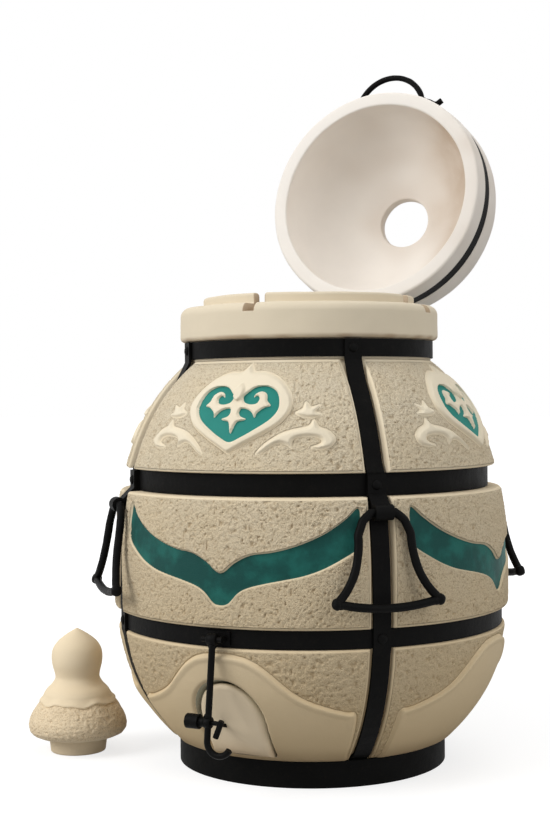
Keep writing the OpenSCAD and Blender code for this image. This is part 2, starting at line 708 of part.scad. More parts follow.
// Strap from the latch pin to the door, its tongue let into the clay.
tongue_t = 5;
tongue_drop = 17;
tongue_z = latch_z - tongue_drop;
tongue_in = 12;
tongue_dir = unit([door_face(tongue_z) - latch_y, tongue_z - latch_z]);
tongue_end = [door_face(tongue_z), tongue_z] + tongue_in * tongue_dir;
tongue_side = left_of(tongue_dir) * tongue_t / 2;
strap_wall = 3.5;
tongue_start = [latch_y, latch_z] + (latch_r + pivot_play + strap_wall / 2) * tongue_dir;
module door_tongue() translate([(strap_x0 + strap_x1) / 2, 0, 0]) across(strap_x1 - strap_x0) polygon([
    tongue_start + tongue_side, tongue_end + tongue_side,
    tongue_end - tongue_side, tongue_start - tongue_side
]);
module door_strap() color(iron) difference() {
    union() {
        door_tongue();
        at_latch() translate([(strap_x0 + strap_x1) / 2, 0, 0])
            bar_x(latch_r + pivot_play + strap_wall, strap_x1 - strap_x0);
    }
    at_latch() bar_x(latch_r + pivot_play, pot_r / 2);
}

// ---- Lid, drawn closed and then laid open about its hinge ----
hinge_z = rim_top_z;
lid_z = rim_top_z + lid_rest;
module opened() translate([0, hinge_y, hinge_z]) rotate([-lid_open, 0, 0]) translate([0, -hinge_y, -hinge_z])
    children();
lid_socket_h = lip_h + lid_socket_play;
lid_edge = 4;
lid_band_r = lid_side_r - lid_band_sunk;
dome_h = lid_h - lid_side_h;
function dome_z(r) = lid_side_h + dome_h * sqrt(1 - pow(r / lid_side_r, 2));
inner_rise = (lid_inner_h - lid_socket_h) / sqrt(1 - pow(vent_r / lid_socket_r, 2));
inner_turn = acos(vent_r / lid_socket_r);
dome_turn = acos(vent_flare_r / lid_side_r);
dome_steps = 12;
lid_outline = concat(
    [[lid_socket_r, 0]],
    arc([lid_r - lid_edge, lid_edge], lid_edge, -90, 0, 4),
    [[lid_side_r, lid_band_z - groove_gap - lid_edge]],
    [[lid_side_r, lid_band_z - groove_gap], [lid_band_r - bar_t, lid_band_z - groove_gap]],
    [[lid_band_r - bar_t, lid_band_z + lid_band_w + groove_gap],
        [lid_side_r, lid_band_z + lid_band_w + groove_gap]],
    [for (i = [0:dome_steps]) let(a = dome_turn * i / dome_steps)
        [lid_side_r * cos(a), lid_side_h + dome_h * sin(a)]],
    [[vent_r, lid_inner_h + vent_l]],
    [for (i = [dome_steps:-1:0]) let(a = inner_turn * i / dome_steps)
        [lid_socket_r * cos(a), lid_socket_h + inner_rise * sin(a)]]
);
module lid_shell() color(cream) opened() translate([0, 0, lid_z]) rotate_extrude() polygon(lid_outline);
lid_band_mid = lid_z + lid_band_z + lid_band_w / 2;
module lid_band() color(iron) opened() difference() {
    hoop(lid_band_r, lid_z + lid_band_z, lid_band_w);
    back_holes(lid_band_mid);
}

// Bow handle welded to the lid band at the front.
grip_r = grip_d / 2;
grip_seat = lid_band_r + grip_r + seat_gap;
grip_foot_y = sqrt(pow(grip_seat, 2) - pow(grip_span / 2, 2));
grip_sag = grip_seat + grip_rise - grip_foot_y;
bow_r = (pow(grip_span / 2, 2) + pow(grip_sag, 2)) / (2 * grip_sag);
bow_y = grip_seat + grip_rise - bow_r;
bow_turn = acos((grip_foot_y - bow_y) / bow_r);
bow_steps = 10;
tail_turn = asin((grip_span / 2 + grip_tail) / grip_seat);
foot_turn = asin(grip_span / 2 / grip_seat);
function on_seat(r, a) = [r * sin(a), -r * cos(a), 0];
grip_half = concat(
    [on_seat(grip_seat + grip_d, tail_turn + 2), on_seat(grip_seat, tail_turn)],
    [on_seat(grip_seat, (tail_turn + foot_turn) / 2)],
    [for (i = [bow_steps:-1:1]) let(a = bow_turn * i / bow_steps)
        [bow_r * sin(a), -bow_y - bow_r * cos(a), 0]]
);
grip_path = concat(grip_half, [[0, -grip_seat - grip_rise, 0]], flipped(grip_half));
module lid_handle() color(iron) opened() translate([0, 0, lid_band_mid])
    bent_rod(grip_path, [0, 0, 1], grip_r);

// ---- Lid hinge at the back ----
module behind(width) rotate([90, 0, 90]) linear_extrude(width, center = true) children();
hinge_rivet_off = 10;
hinge_rivet_x = [-hinge_rivet_off, hinge_rivet_off];
cheek_x = leaf_w / 2 + cheek_gap + cheek_t / 2;
rim_clear = 1.8;
cheek_in_y = rim_r + rim_clear;
plate_margin = 7;
plate_w = 2 * (cheek_x + plate_margin) + cheek_t;
// The cheeks are welded to the plate, a little inside its face, and step back under the hinge axis.
weld_in = 0.5;
cheek_step = 8;
pin_r = hinge_pin_d / 2;
stop_r = stop_d / 2;
leaf_in_y = lid_side_r + seat_gap;
leaf_out_y = leaf_in_y + leaf_t;
leaf_over = 4;
leaf_under = 8;
leaf_top_z = lid_band_mid + lid_band_w / 2 + leaf_over;
leaf_low_z = lid_z + lid_band_z - leaf_under;
// The stop bar meets the open leaf below the leaf's rivet heads. Its centre is found along the leaf
// and off it, and then in the pot's own frame.
stop_below_rivet = 2;
stop_reach = lid_band_mid - rivet_head_r - stop_below_rivet - stop_r - hinge_z;
stop_from_leaf = [leaf_out_y + stop_r + stop_gap - hinge_y, stop_reach];
stop_y = hinge_y + stop_from_leaf[0] * cos(lid_open) + stop_from_leaf[1] * sin(lid_open);
stop_z = hinge_z - stop_from_leaf[0] * sin(lid_open) + stop_from_leaf[1] * cos(lid_open);
stop_ear_wall = 3;
stop_ear_r = stop_r + stop_ear_wall;
// How far a straight side reaches up the round end that it runs into
side_share = 0.9;
module cheek() behind(cheek_t) difference() {
    union() {
        polygon([
            [neck_band_r + weld_in, neck_band_z], [neck_band_r + 4 * bar_t, neck_band_z],
            [stop_y + stop_ear_r, stop_z], [stop_y, stop_z + stop_ear_r],
            [hinge_y, hinge_z + knuckle_r * side_share], [hinge_y - knuckle_r, hinge_z],
            [cheek_in_y, hinge_z - cheek_step], [cheek_in_y, rim_bottom_z],
            [neck_band_r + weld_in, neck_band_z + neck_band_w]
        ]);
        translate([hinge_y, hinge_z]) circle(r = knuckle_r);
        translate([stop_y, stop_z]) circle(r = stop_ear_r);
    }
    translate([hinge_y, hinge_z]) circle(r = pin_r);
    translate([stop_y, stop_z]) circle(r = stop_r);
}
module hinge_bracket() color(iron) {
    difference() {
        intersection() {
            translate([0, 0, neck_band_z]) cylinder(r = neck_band_r + bar_t, h = neck_band_w);
            translate([-plate_w / 2, 0, 0]) cube([plate_w, 2 * rim_r, rim_top_z]);
        }
        translate([0, 0, neck_band_z - over]) cylinder(r = neck_band_r, h = neck_band_w + 2 * over);
        back_holes(neck_mid_z);
    }
    for (x = [-cheek_x, cheek_x]) translate([x, 0, 0]) cheek();
}
module hinge_rivets() color(iron) for (x = hinge_rivet_x) translate([-x, 0, 0]) at_azimuth(180)
    rivet(neck_mid_z, neck_band_r - bar_t, neck_band_r + bar_t);
pin_end = 5;
pin_head_t = 4;
pin_head_over = 3;
pin_l = 2 * (cheek_x + pin_end) + cheek_t;
stop_l = pin_l - pin_head_t;
module hinge_pin() color(iron) translate([0, hinge_y, hinge_z]) {
    bar_x(pin_r, pin_l);
    translate([-pin_l / 2, 0, 0]) bar_x(pin_r + pin_head_over, pin_head_t);
}
module stop_bar() color(iron) translate([0, stop_y, stop_z]) bar_x(stop_r, stop_l);
module hinge_leaf() color(iron) opened() difference() {
    union() {
        behind(leaf_w) polygon([
            [leaf_in_y, leaf_top_z], [leaf_in_y, leaf_low_z],
            [hinge_y - knuckle_r * side_share, hinge_z + leaf_over],
            [hinge_y, hinge_z], on_knuckle,
            [leaf_out_y, leaf_low_z], [leaf_out_y, leaf_top_z]
        ]);
        translate([0, hinge_y, hinge_z]) bar_x(knuckle_r, leaf_w);
    }
    translate([0, hinge_y, hinge_z]) bar_x(pin_r + pivot_play, 2 * leaf_w);
    back_holes(lid_band_mid);
}
knuckle_turn = 53;
on_knuckle = [hinge_y + knuckle_r * cos(knuckle_turn), hinge_z + knuckle_r * sin(knuckle_turn)];
module leaf_rivets() color(iron) opened() for (x = hinge_rivet_x) translate([-x, 0, 0]) at_azimuth(180)
    rivet(lid_band_mid, lid_band_r - bar_t, leaf_out_y);

// ---- Cap that closes the lid's vent, lifted off and stood on the floor ----
collar_z = spigot_h + skirt_h;
cap_neck_z = collar_z + collar_h;
cap_knob_z = cap_h - cap_knob_h;
skirt_waist = 0.34;
cap_edge = 2;
skirt_seat_share = 0.86;
collar_lip = 5;
half_turn = 180;
// The knob narrows to a point faster than a ball would.
knob_point = 1.9;
function eased(a) = (1 + cos(a)) / 2;
cap_outline = concat(
    [[0, 0], [spigot_r - cap_edge, 0], [spigot_r, cap_edge], [spigot_top_r, spigot_h]],
    [[skirt_r * skirt_seat_share, spigot_h + cap_edge]],
    [for (a = [-60:20:80]) [skirt_r + (collar_r - skirt_r) * (a < 0 ? 0.5 * (1 - cos(a)) : 1 - cos(a)),
        spigot_h + skirt_h * (skirt_waist + (a < 0 ? skirt_waist : 1 - skirt_waist) * sin(a))]],
    [[collar_r, collar_z]],
    [for (a = [0:30:half_turn]) [cap_neck_r + (collar_r - cap_neck_r) * eased(a),
        collar_z + collar_lip + (collar_h - collar_lip) * a / half_turn]],
    [for (a = [45:45:half_turn]) [cap_knob_r - (cap_knob_r - cap_neck_r) * eased(a),
        cap_neck_z + (cap_knob_z - cap_neck_z) * a / half_turn]],
    [for (a = [10:10:80]) [cap_knob_r * pow(cos(a), knob_point), cap_knob_z + cap_knob_h * sin(a)]],
    [[0, cap_h]]
);
module cap() color(cream) translate([cap_x, cap_y, 0]) rotate_extrude() polygon(cap_outline);

clay_body();
base_ring();
base_cross();
lower_band();
upper_band();
neck_band();
strap_front_left();
strap_front_right();
strap_back_right();
strap_back_left();
strap_rivets();
bracket_front_left();
bracket_front_right();
bracket_back_right();
bracket_back_left();
bracket_rivets();
bail_front_left();
bail_front_right();
bail_back_right();
bail_back_left();
fire_grate();
grate_legs();
ash_door();
door_strap();
door_eye();
door_arm();
latch_pin();
latch_knob();
hinge_bracket();
hinge_rivets();
hinge_pin();
stop_bar();
lid_shell();
lid_band();
hinge_leaf();
leaf_rivets();
lid_handle();
cap();
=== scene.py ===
"""Looks of the clay tandoor oven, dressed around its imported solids. Lengths are in millimetres
until a vertex is placed, and angles in degrees from a column's middle."""
import json
import math
from collections import namedtuple

import bmesh
import bpy
import numpy as np
from mathutils import Matrix, Vector


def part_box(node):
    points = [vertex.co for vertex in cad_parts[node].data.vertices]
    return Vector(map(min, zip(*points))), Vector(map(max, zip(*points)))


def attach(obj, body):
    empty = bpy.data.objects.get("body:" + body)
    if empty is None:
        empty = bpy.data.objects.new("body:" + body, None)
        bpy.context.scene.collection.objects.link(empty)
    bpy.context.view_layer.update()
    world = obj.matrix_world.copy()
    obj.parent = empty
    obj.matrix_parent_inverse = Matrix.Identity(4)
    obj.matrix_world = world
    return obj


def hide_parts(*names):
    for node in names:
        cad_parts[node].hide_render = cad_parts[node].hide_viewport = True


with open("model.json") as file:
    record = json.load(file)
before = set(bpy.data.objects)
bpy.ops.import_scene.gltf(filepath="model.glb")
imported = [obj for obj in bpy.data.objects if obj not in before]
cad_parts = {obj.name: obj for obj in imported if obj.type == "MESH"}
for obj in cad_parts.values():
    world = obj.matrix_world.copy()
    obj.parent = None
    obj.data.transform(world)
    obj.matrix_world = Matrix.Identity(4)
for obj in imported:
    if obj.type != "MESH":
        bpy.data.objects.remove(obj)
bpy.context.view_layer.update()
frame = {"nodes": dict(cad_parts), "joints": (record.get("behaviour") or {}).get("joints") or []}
nodes = frame["nodes"]

MM = 0.001
Hoop = namedtuple("Hoop", "radius low high")


def hoop(node):
    low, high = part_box(node)
    return Hoop(high.x / MM, low.z / MM, high.z / MM)


# ---- Sizes that the solids give ----
LOWER, UPPER, NECK = hoop("lower_band"), hoop("upper_band"), hoop("neck_band")
RING = hoop("base_ring")
BAR = 4.0
POT_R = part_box("clay_body")[1].x / MM
LIP_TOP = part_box("clay_body")[1].z / MM
JOINTS = {joint["name"]: joint for joint in frame["joints"]}

# ---- Sizes that the pot's curve is built from, as in its source ----
WAIST_Z, SHOULDER_Z, SHOULDER_R = 300.0, 600.0, 176.0
FOOT_R, WALL, FLOOR_Z = 203.0, 50.0, 46.0
FOOT_IN_R, CLAY_LOW = 191.5, 5.0
NECK_R, NECK_FOOT_Z, THROAT_Z = 182.5, 594.0, 578.0
RIM_R, RIM_LOW, RIM_TOP = 193.5, 624.5, 675.5
LIP_R, MOUTH_R = 158.5, 143.0
CHANNEL_W, STRAP_W = 33.0, 25.0
LOWER_MID, UPPER_MID = (LOWER.low + LOWER.high) / 2, (UPPER.low + UPPER.high) / 2
GROOVE_GAP = 1.0

COLUMNS = {"front": 0, "right": 90, "back": 180, "left": -90}
CORNERS = {"front_left": -45, "front_right": 45, "back_right": 135, "back_left": -135}


def belly(z):
    z = np.asarray(z, float)
    below = FOOT_R + (POT_R - FOOT_R) * (1 - ((WAIST_Z - z) / (WAIST_Z - RING.high)) ** 3)
    share = np.clip((z - WAIST_Z) / (SHOULDER_Z - WAIST_Z), 0, 2)
    above = POT_R - (POT_R - SHOULDER_R) * (0.7 * share**2 + 0.3 * share**6)
    return np.where(z < WAIST_Z, below, above)


# ---- Small tools for shapes ----
def smooth(points, cuts=4):
    """Closed outline, rounded through its own points."""
    p = np.array(points, float)
    before, after, later = np.roll(p, 1, 0), np.roll(p, -1, 0), np.roll(p, -2, 0)
    runs = []
    for t in np.arange(cuts) / cuts:
        runs.append(0.5 * (2 * p + (after - before) * t + (2 * before - 5 * p + 4 * after - later) * t**2
                           + (3 * p - before - 3 * after + later) * t**3))
    return np.stack(runs, 1).reshape(-1, 2)


def mirrored(half):
    return half + [(-a, z) for a, z in reversed(half) if a > 0]


def inside(outline, across, z):
    """Distance to the outline in millimetres, positive inside it. Outlines are in degrees and heights."""
    ring = smooth(outline)
    ring[:, 0] = np.radians(ring[:, 0]) * belly(ring[:, 1])
    near = np.full(across.shape, 1e9)
    within = np.zeros(across.shape, bool)
    for (ax, az), (bx, bz) in zip(ring, np.roll(ring, -1, 0)):
        dx, dz = bx - ax, bz - az
        share = np.clip(((across - ax) * dx + (z - az) * dz) / (dx * dx + dz * dz + 1e-9), 0, 1)
        near = np.minimum(near, np.hypot(across - ax - share * dx, z - az - share * dz))
        if abs(dz) > 1e-9:
            cross = ((az > z) != (bz > z)) & (across < ax + (z - az) * dx / dz)
            within ^= cross
    return np.where(within, near, -near)


def rise(distance, start, end):
    share = np.clip((distance - start) / (end - start), 0, 1)
    return share * share * (3 - 2 * share)


def round_off(distance, radius):
    """How far a rounded edge falls below its surface, at a distance in from the edge."""
    lack = radius - np.clip(distance, 0, radius)
    return radius - np.sqrt(radius**2 - lack**2)


def grain(points, size, seed):
    """Smooth random values from -1 to 1, of a given size in millimetres, the same on each run."""
    cell = points / size + seed * 17.31
    base = np.floor(cell)
    part = cell - base
    part = part * part * (3 - 2 * part)
    base = base.astype(np.int64)
    total = np.zeros(len(points))
    for corner in np.ndindex(2, 2, 2):
        at = base + corner
        mixed = (at[:, 0] * 73856093) ^ (at[:, 1] * 19349663) ^ (at[:, 2] * 83492791) ^ (seed * 2654435)
        mixed = (mixed ^ (mixed >> 13)) * 1274126177 & 0x7FFFFFFF
        value = ((mixed ^ (mixed >> 16)) & 0xFFFF) / 32767.5 - 1
        weight = np.prod(np.where(np.array(corner) == 1, part, 1 - part), axis=1)
        total += weight * value
    return total


def chamotte(points):
    """Height of the rough clay: coarse grains, with pits between them."""
    coarse = grain(points, 4.0, 3)
    fine = grain(points, 2.4, 7)
    mixed = 0.22 * coarse + 0.85 * fine
    pits = np.clip(-mixed - 0.3, 0, 1)
    return 1.2 * mixed - 2.8 * pits


def arc(centre, radius, start, end, count):
    turns = np.radians(np.linspace(start, end, count))
    return [(centre[0] + radius * math.cos(a), centre[1] + radius * math.sin(a)) for a in turns]


def line(a, b, step):
    count = max(1, math.ceil(math.dist(a, b) / step))
    return [(a[0] + (b[0] - a[0]) * i / count, a[1] + (b[1] - a[1]) * i / count) for i in range(count)]


def coordinates(mesh):
    flat = np.zeros(len(mesh.vertices) * 3, np.float32)
    mesh.vertices.foreach_get("co", flat)
    return flat.reshape(-1, 3).astype(float) / MM


def place(mesh, points):
    mesh.vertices.foreach_set("co", (points * MM).astype(np.float32).ravel())
    mesh.update()


def mark(mesh, name, values):
    mesh.attributes.new(name, "FLOAT", "POINT").data.foreach_set("value", values.astype(np.float32))


def piece(name, shape, body, finish, stands_for=(), sharp=35):
    """Makes an object of a bmesh or a mesh, and has it ride on its body."""
    if isinstance(shape, bmesh.types.BMesh):
        mesh = bpy.data.meshes.new(name)
        shape.to_mesh(mesh)
        shape.free()
    else:
        mesh = shape
    made = bpy.data.objects.new(name, mesh)
    bpy.context.scene.collection.objects.link(made)
    mesh.shade_smooth()
    mesh.set_sharp_from_angle(angle=math.radians(sharp))
    mesh.materials.clear()
    mesh.materials.append(finish)
    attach(made, body)
    if stands_for:
        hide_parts(*stands_for)
    return made


def spun(outline, start, turn, steps, closed=True):
    """Outline of radii and heights, spun about the pot's axis from an angle. Open ends are filled."""
    mesh = bmesh.new()
    s, c = math.sin(math.radians(start)), math.cos(math.radians(start))
    ring = [mesh.verts.new((r * s * MM, -r * c * MM, z * MM)) for r, z in outline]
    pairs = list(zip(ring, ring[1:])) + ([(ring[-1], ring[0])] if closed else [])
    edges = [mesh.edges.new(pair) for pair in pairs]
    whole = turn == 360
    bmesh.ops.spin(mesh, geom=ring + edges, cent=(0, 0, 0), axis=(0, 0, 1), angle=math.radians(turn),
                   steps=steps, use_merge=whole, use_duplicate=False)
    bmesh.ops.remove_doubles(mesh, verts=mesh.verts, dist=1e-7)
    if not whole:
        rims = [edge for edge in mesh.edges if edge.is_boundary]
        bmesh.ops.holes_fill(mesh, edges=rims, sides=0)
    bmesh.ops.recalc_face_normals(mesh, faces=mesh.faces)
    return mesh


def as_mesh(shape, name):
    mesh = bpy.data.meshes.new(name)
    shape.to_mesh(mesh)
    shape.free()
    return mesh


# ---- Shader maths ----
class Value:
    """A number that changes over the surface, used in plain expressions."""

    def __init__(self, finish, socket):
        self.finish, self.socket = finish, socket

    def maths(self, operation, first, second):
        return Value(self.finish, self.finish.node("ShaderNodeMath", {"operation": operation}, {0: first, 1: second}))

    def __add__(self, other): return self.maths("ADD", self, other)
    def __radd__(self, other): return self.maths("ADD", other, self)
    def __sub__(self, other): return self.maths("SUBTRACT", self, other)
    def __rsub__(self, other): return self.maths("SUBTRACT", other, self)
    def __mul__(self, other): return self.maths("MULTIPLY", self, other)
    def __rmul__(self, other): return self.maths("MULTIPLY", other, self)


class Finish:
    """One material: its nodes, and the surface that they feed."""

    def __init__(self, name, **surface):
        self.material = bpy.data.materials.new(name)
        self.material.use_nodes = True
        self.tree = self.material.node_tree
        self.surface = self.tree.nodes["Principled BSDF"]
        for socket, value in surface.items():
            self.surface.inputs[socket.replace("_", " ")].default_value = value
        self.place = self.node("ShaderNodeTexCoord", {}, {}, "Object")

    def node(self, kind, settings, sockets, output=0):
        made = self.tree.nodes.new(kind)
        for name, value in settings.items():
            setattr(made, name, value)
        for key, value in sockets.items():
            value = value.socket if isinstance(value, Value) else value
            if isinstance(value, bpy.types.NodeSocket):
                self.tree.links.new(value, made.inputs[key])
            else:
                made.inputs[key].default_value = value
        return made.outputs[output]

    def noise(self, size, detail=4.0, roughness=0.55):
        """Noise whose features have a size in millimetres."""
        sockets = {"Vector": self.place, "Scale": 1 / (size * MM), "Detail": detail, "Roughness": roughness}
        return Value(self, self.node("ShaderNodeTexNoise", {}, sockets))

    def attribute(self, name):
        return Value(self, self.node("ShaderNodeAttribute", {"attribute_name": name}, {}, "Fac"))

    def step(self, value, start, end):
        sockets = {"Value": value, "From Min": start, "From Max": end}
        return Value(self, self.node("ShaderNodeMapRange", {"interpolation_type": "SMOOTHSTEP"}, sockets))

    def blend(self, share, first, second):
        """Mix of two colours."""
        made = self.tree.nodes.new("ShaderNodeMix")
        made.data_type = "RGBA"
        for key, value in ((0, share), (6, first), (7, second)):
            value = value.socket if isinstance(value, Value) else value
            if isinstance(value, bpy.types.NodeSocket):
                self.tree.links.new(value, made.inputs[key])
            else:
                made.inputs[key].default_value = value if key == 0 else (*value, 1)
        return made.outputs[2]

    def feed(self, name, value):
        self.tree.links.new(value.socket if isinstance(value, Value) else value, self.surface.inputs[name])

    def bump(self, height, depth, strength=1.0):
        """Relief of a depth in millimetres."""
        sockets = {"Height": height, "Distance": depth * MM, "Strength": strength}
        self.feed("Normal", self.node("ShaderNodeBump", {}, sockets))


# The fourth colour is the dark brown of painted shade in creases and above the base ring.
CREAM, PALE, SAND, SHADE_BROWN = (0.86, 0.72, 0.50), (0.84, 0.755, 0.59), (0.46, 0.32, 0.17), (0.20, 0.11, 0.05)
# Brown of the painted shade that darkens the belly towards the foot.
FOOT_SHADE = (0.64, 0.47, 0.25)
TEAL, DEEP_TEAL, LIGHT_TEAL = (0.013, 0.120, 0.100), (0.006, 0.060, 0.052), (0.022, 0.250, 0.210)


def pot_clay():
    """Clay of the pot: rough chamotte, smooth borders and inlays, each placed by the piece's marks, with painted shade
    in the pits, along the creases and towards the foot.
    """
    f = Finish("pot_clay", Roughness=0.85, Specular_IOR_Level=0.15)
    rough = f.step(f.attribute("rough"), 0, 1)
    inlay = f.step(f.attribute("inlay"), -0.25, 0.25)
    cloud = f.noise(60)
    speck = f.noise(2.0, 5)
    clay = f.blend(cloud, CREAM, PALE)
    clay = f.blend(f.attribute("raised") * 0.8, clay, PALE)
    # Painted shade: the belly turns darker and browner towards the foot, where less light falls.
    clay = f.blend(f.attribute("foot") * 0.8, clay, FOOT_SHADE)
    pits = f.step(speck, 0.50, 0.36) * rough
    clay = f.blend(pits * 0.5, clay, SAND)
    # Painted shade in the rough clay's pits: the deeper the hollow, the more sand-brown.
    clay = f.blend(f.step(f.attribute("pit_shade"), 0.3, 2.0) * 0.4, clay, SAND)
    # Painted shade in dark brown along the edges of the strap channels and band grooves, just above the base ring, and
    # evenly on the inner faces.
    clay = f.blend(f.step(f.attribute("painted_shade"), 0, 1) * (0.35 + 0.5 * cloud), clay, SHADE_BROWN)
    paint = f.blend(f.step(f.noise(38, 5), 0.38, 0.66), DEEP_TEAL, TEAL)
    paint = f.blend(f.attribute("light") * 0.85, paint, LIGHT_TEAL)
    f.feed("Base Color", f.blend(inlay, clay, paint))
    f.feed("Roughness", 0.88 - 0.3 * inlay)
    f.bump((f.noise(1.4, 5) + f.noise(2.7, 3)) * (0.12 + rough), 2.3)
    return f.material


def plain_clay(name, base, warm, warmth=0.5, rough_depth=0.35):
    """Smooth clay with a warmer tone where the piece's "warm" mark says so; on the rim, the ash door and the lid that
    mark is partly painted shade.
    """
    f = Finish(name, Roughness=0.8)
    rough = f.step(f.attribute("rough"), 0, 1)
    cloud = f.noise(45)
    clay = f.blend(cloud, base, tuple(min(1, 1.08 * c) for c in base))
    clay = f.blend(f.step(f.attribute("warm"), 0, 1) * (warmth * 0.6 + warmth * cloud), clay, warm)
    clay = f.blend(f.step(f.noise(2.2, 5), 0.52, 0.36) * rough * 0.6, clay, SAND)
    f.feed("Base Color", clay)
    f.feed("Roughness", 0.72 + 0.2 * cloud)
    f.bump(f.noise(2.5, 5) * (0.35 + rough), rough_depth)
    return f.material


def iron(name, colour=(0.002, 0.0019, 0.0018), roughness=0.45, depth=0.5, wear=0.2):
    """Black heat-proof paint over hammered iron."""
    f = Finish(name, Metallic=0.0, Specular_IOR_Level=0.06)
    patch = f.noise(30)
    f.feed("Base Color", f.blend(f.step(f.noise(9, 6), 0.5, 0.75) * wear, colour, (0.013, 0.011, 0.009)))
    f.feed("Roughness", roughness + 0.25 * patch)
    f.bump(f.noise(7, 3) + 0.35 * f.noise(1.2, 3), depth)
    return f.material


POT_CLAY = pot_clay()
RIM_CLAY = plain_clay("rim_clay", (0.70, 0.61, 0.46), (0.34, 0.21, 0.11), 0.55)
LID_CLAY = plain_clay("lid_clay", (0.86, 0.81, 0.745), (0.44, 0.30, 0.18), 0.6, 0.25)
CAP_CLAY = plain_clay("cap_clay", (0.83, 0.69, 0.48), (0.52, 0.35, 0.18), 0.4, 0.6)
DOOR_CLAY = plain_clay("door_clay", (0.82, 0.68, 0.48), (0.42, 0.27, 0.13), 0.5)
FLAT_IRON = iron("flat_iron")
RING_IRON = iron("ring_iron", (0.002, 0.002, 0.0018), 0.55)
ROD_IRON = iron("rod_iron", roughness=0.38, depth=0.8)
RIVET_IRON = iron("rivet_iron", roughness=0.4, depth=0.3)
GRATE_IRON = iron("grate_iron", (0.03, 0.027, 0.024), 0.7, 0.8, 0.6)

# ---- Ornament, in degrees from the motif's middle and heights ----
MOTIF_TURN = 1.5
WING = mirrored([(0, 308), (4, 322), (8.5, 333), (14, 337), (19, 343), (24, 352), (29, 364), (34, 381), (37, 394),
                 (38, 386), (37.8, 350), (36.5, 338), (33, 327), (28, 314), (23, 305), (18, 299.5),
                 (13, 294.5), (8, 288), (5, 280), (2.3, 266), (0, 263)])
HEART = mirrored([(0, 588), (1.2, 583), (3, 577), (8.5, 576), (14, 566), (17.6, 550), (18.8, 536), (18, 521),
                  (14.5, 504), (8, 487), (4, 477.5), (0.6, 468.5), (0, 467)])
FIELD = mirrored([(0, 538), (2.2, 546), (5.4, 556), (10, 557), (13.6, 549), (14.8, 534), (14.2, 522),
                  (11.7, 510), (6.8, 496), (3.4, 487.5), (0, 481)])
HORNS = mirrored([(0, 562), (1.9, 554), (1.7, 545), (2.1, 538), (3.1, 534), (5.1, 532), (7.1, 533), (7.9, 537),
                  (8, 541), (7.4, 544), (6.3, 543.5), (5.8, 541.5), (6.1, 545.5), (7.1, 548.5), (8.6, 549.5),
                  (10.1, 547), (10.7, 542), (10.9, 537), (12.3, 530.5), (10.6, 528.5), (9.1, 525), (7.8, 520),
                  (7.4, 514.5), (6.3, 521), (4.9, 525), (3.1, 527), (1.9, 526.5), (1.5, 522), (1.7, 519),
                  (2.5, 515.5), (4.4, 512.5), (3.1, 510.5), (1.7, 509.5), (1, 505), (0.4, 497), (0, 493)])
SCROLL = [(8.8, 466), (10.5, 468), (12.3, 474), (14.2, 479.5), (16.2, 481), (18, 478), (19, 475), (19.2, 482),
          (20.2, 487), (23, 489.5), (26, 489), (27.7, 486), (28, 481), (26.6, 477), (24.9, 474.5), (28, 472.5),
          (30.6, 476), (31.9, 483), (31.6, 490), (29.8, 497), (27.2, 502), (25.8, 511), (24.2, 502.5),
          (19.5, 498), (16, 493),
          (13, 485), (10.5, 476)]
LEAF = [(21.8, 516), (25, 514.5), (28.4, 518), (26.4, 522.5), (28, 531), (25, 528), (23.4, 535), (22.4, 526),
        (20.2, 521)]
OGEE = mirrored([(0, 197), (4, 196), (8, 191), (12, 179), (16, 162), (20, 145.5), (24, 134.5), (28, 127),
                 (32, 121), (35.5, 117), (37.8, 114), (38, 80), (37.6, 50), (37.4, 20), (18, 20), (0, 20)])
HEART_PROUD, FIELD_SUNK, HORN_PROUD, WING_SUNK = 6.0, 5.5, 4.8, 4.0
HORN_SPREAD = 0.96

# ---- Ash opening, as in the pot's source ----
ASH_R, ASH_SPRING, SIDE_TAPER, CROWN_FALL = 58.5, 107.0, 0.12, 0.16
ASH_GAP, SILL_GAP = 3.0, 0.4


def arch(y, shrink=0.0, low=FLOOR_Z, count=24):
    """Outline of the arched opening in X and height, at a distance from the pot's axis."""
    half = ASH_R - (POT_R - y) * SIDE_TAPER - shrink
    spring = ASH_SPRING - (POT_R - y) * CROWN_FALL
    return [(-half, low)] + arc((0, spring), half, 180, 0, count) + [(half, low)]


def strap_floor(z):
    """Radius of the clay under the straps."""
    lower_sunk = belly(LOWER_MID) - LOWER.radius
    upper_sunk = belly(UPPER_MID) - UPPER.radius
    share = np.clip((z - LOWER_MID) / (UPPER_MID - LOWER_MID), 0, 1)
    floor = belly(z) - lower_sunk - (upper_sunk - lower_sunk) * share
    dive, crest, foot, first = 560.0, 593.0, RING.high + 3, RING.high + 13
    dive_r = belly(dive) - upper_sunk
    floor = np.where(z > dive, dive_r + (z - dive) / (crest - dive) * (NECK.radius - dive_r), floor)
    first_r = belly(first) - lower_sunk
    floor = np.where(z < first, FOOT_IN_R + np.clip((z - foot) / 10, 0, 1) * (first_r - FOOT_IN_R), floor)
    for band in (LOWER, UPPER):
        floor = np.where(np.abs(z - (band.low + band.high) / 2) < 24, np.minimum(floor, band.radius), floor)
    return floor - 1.2


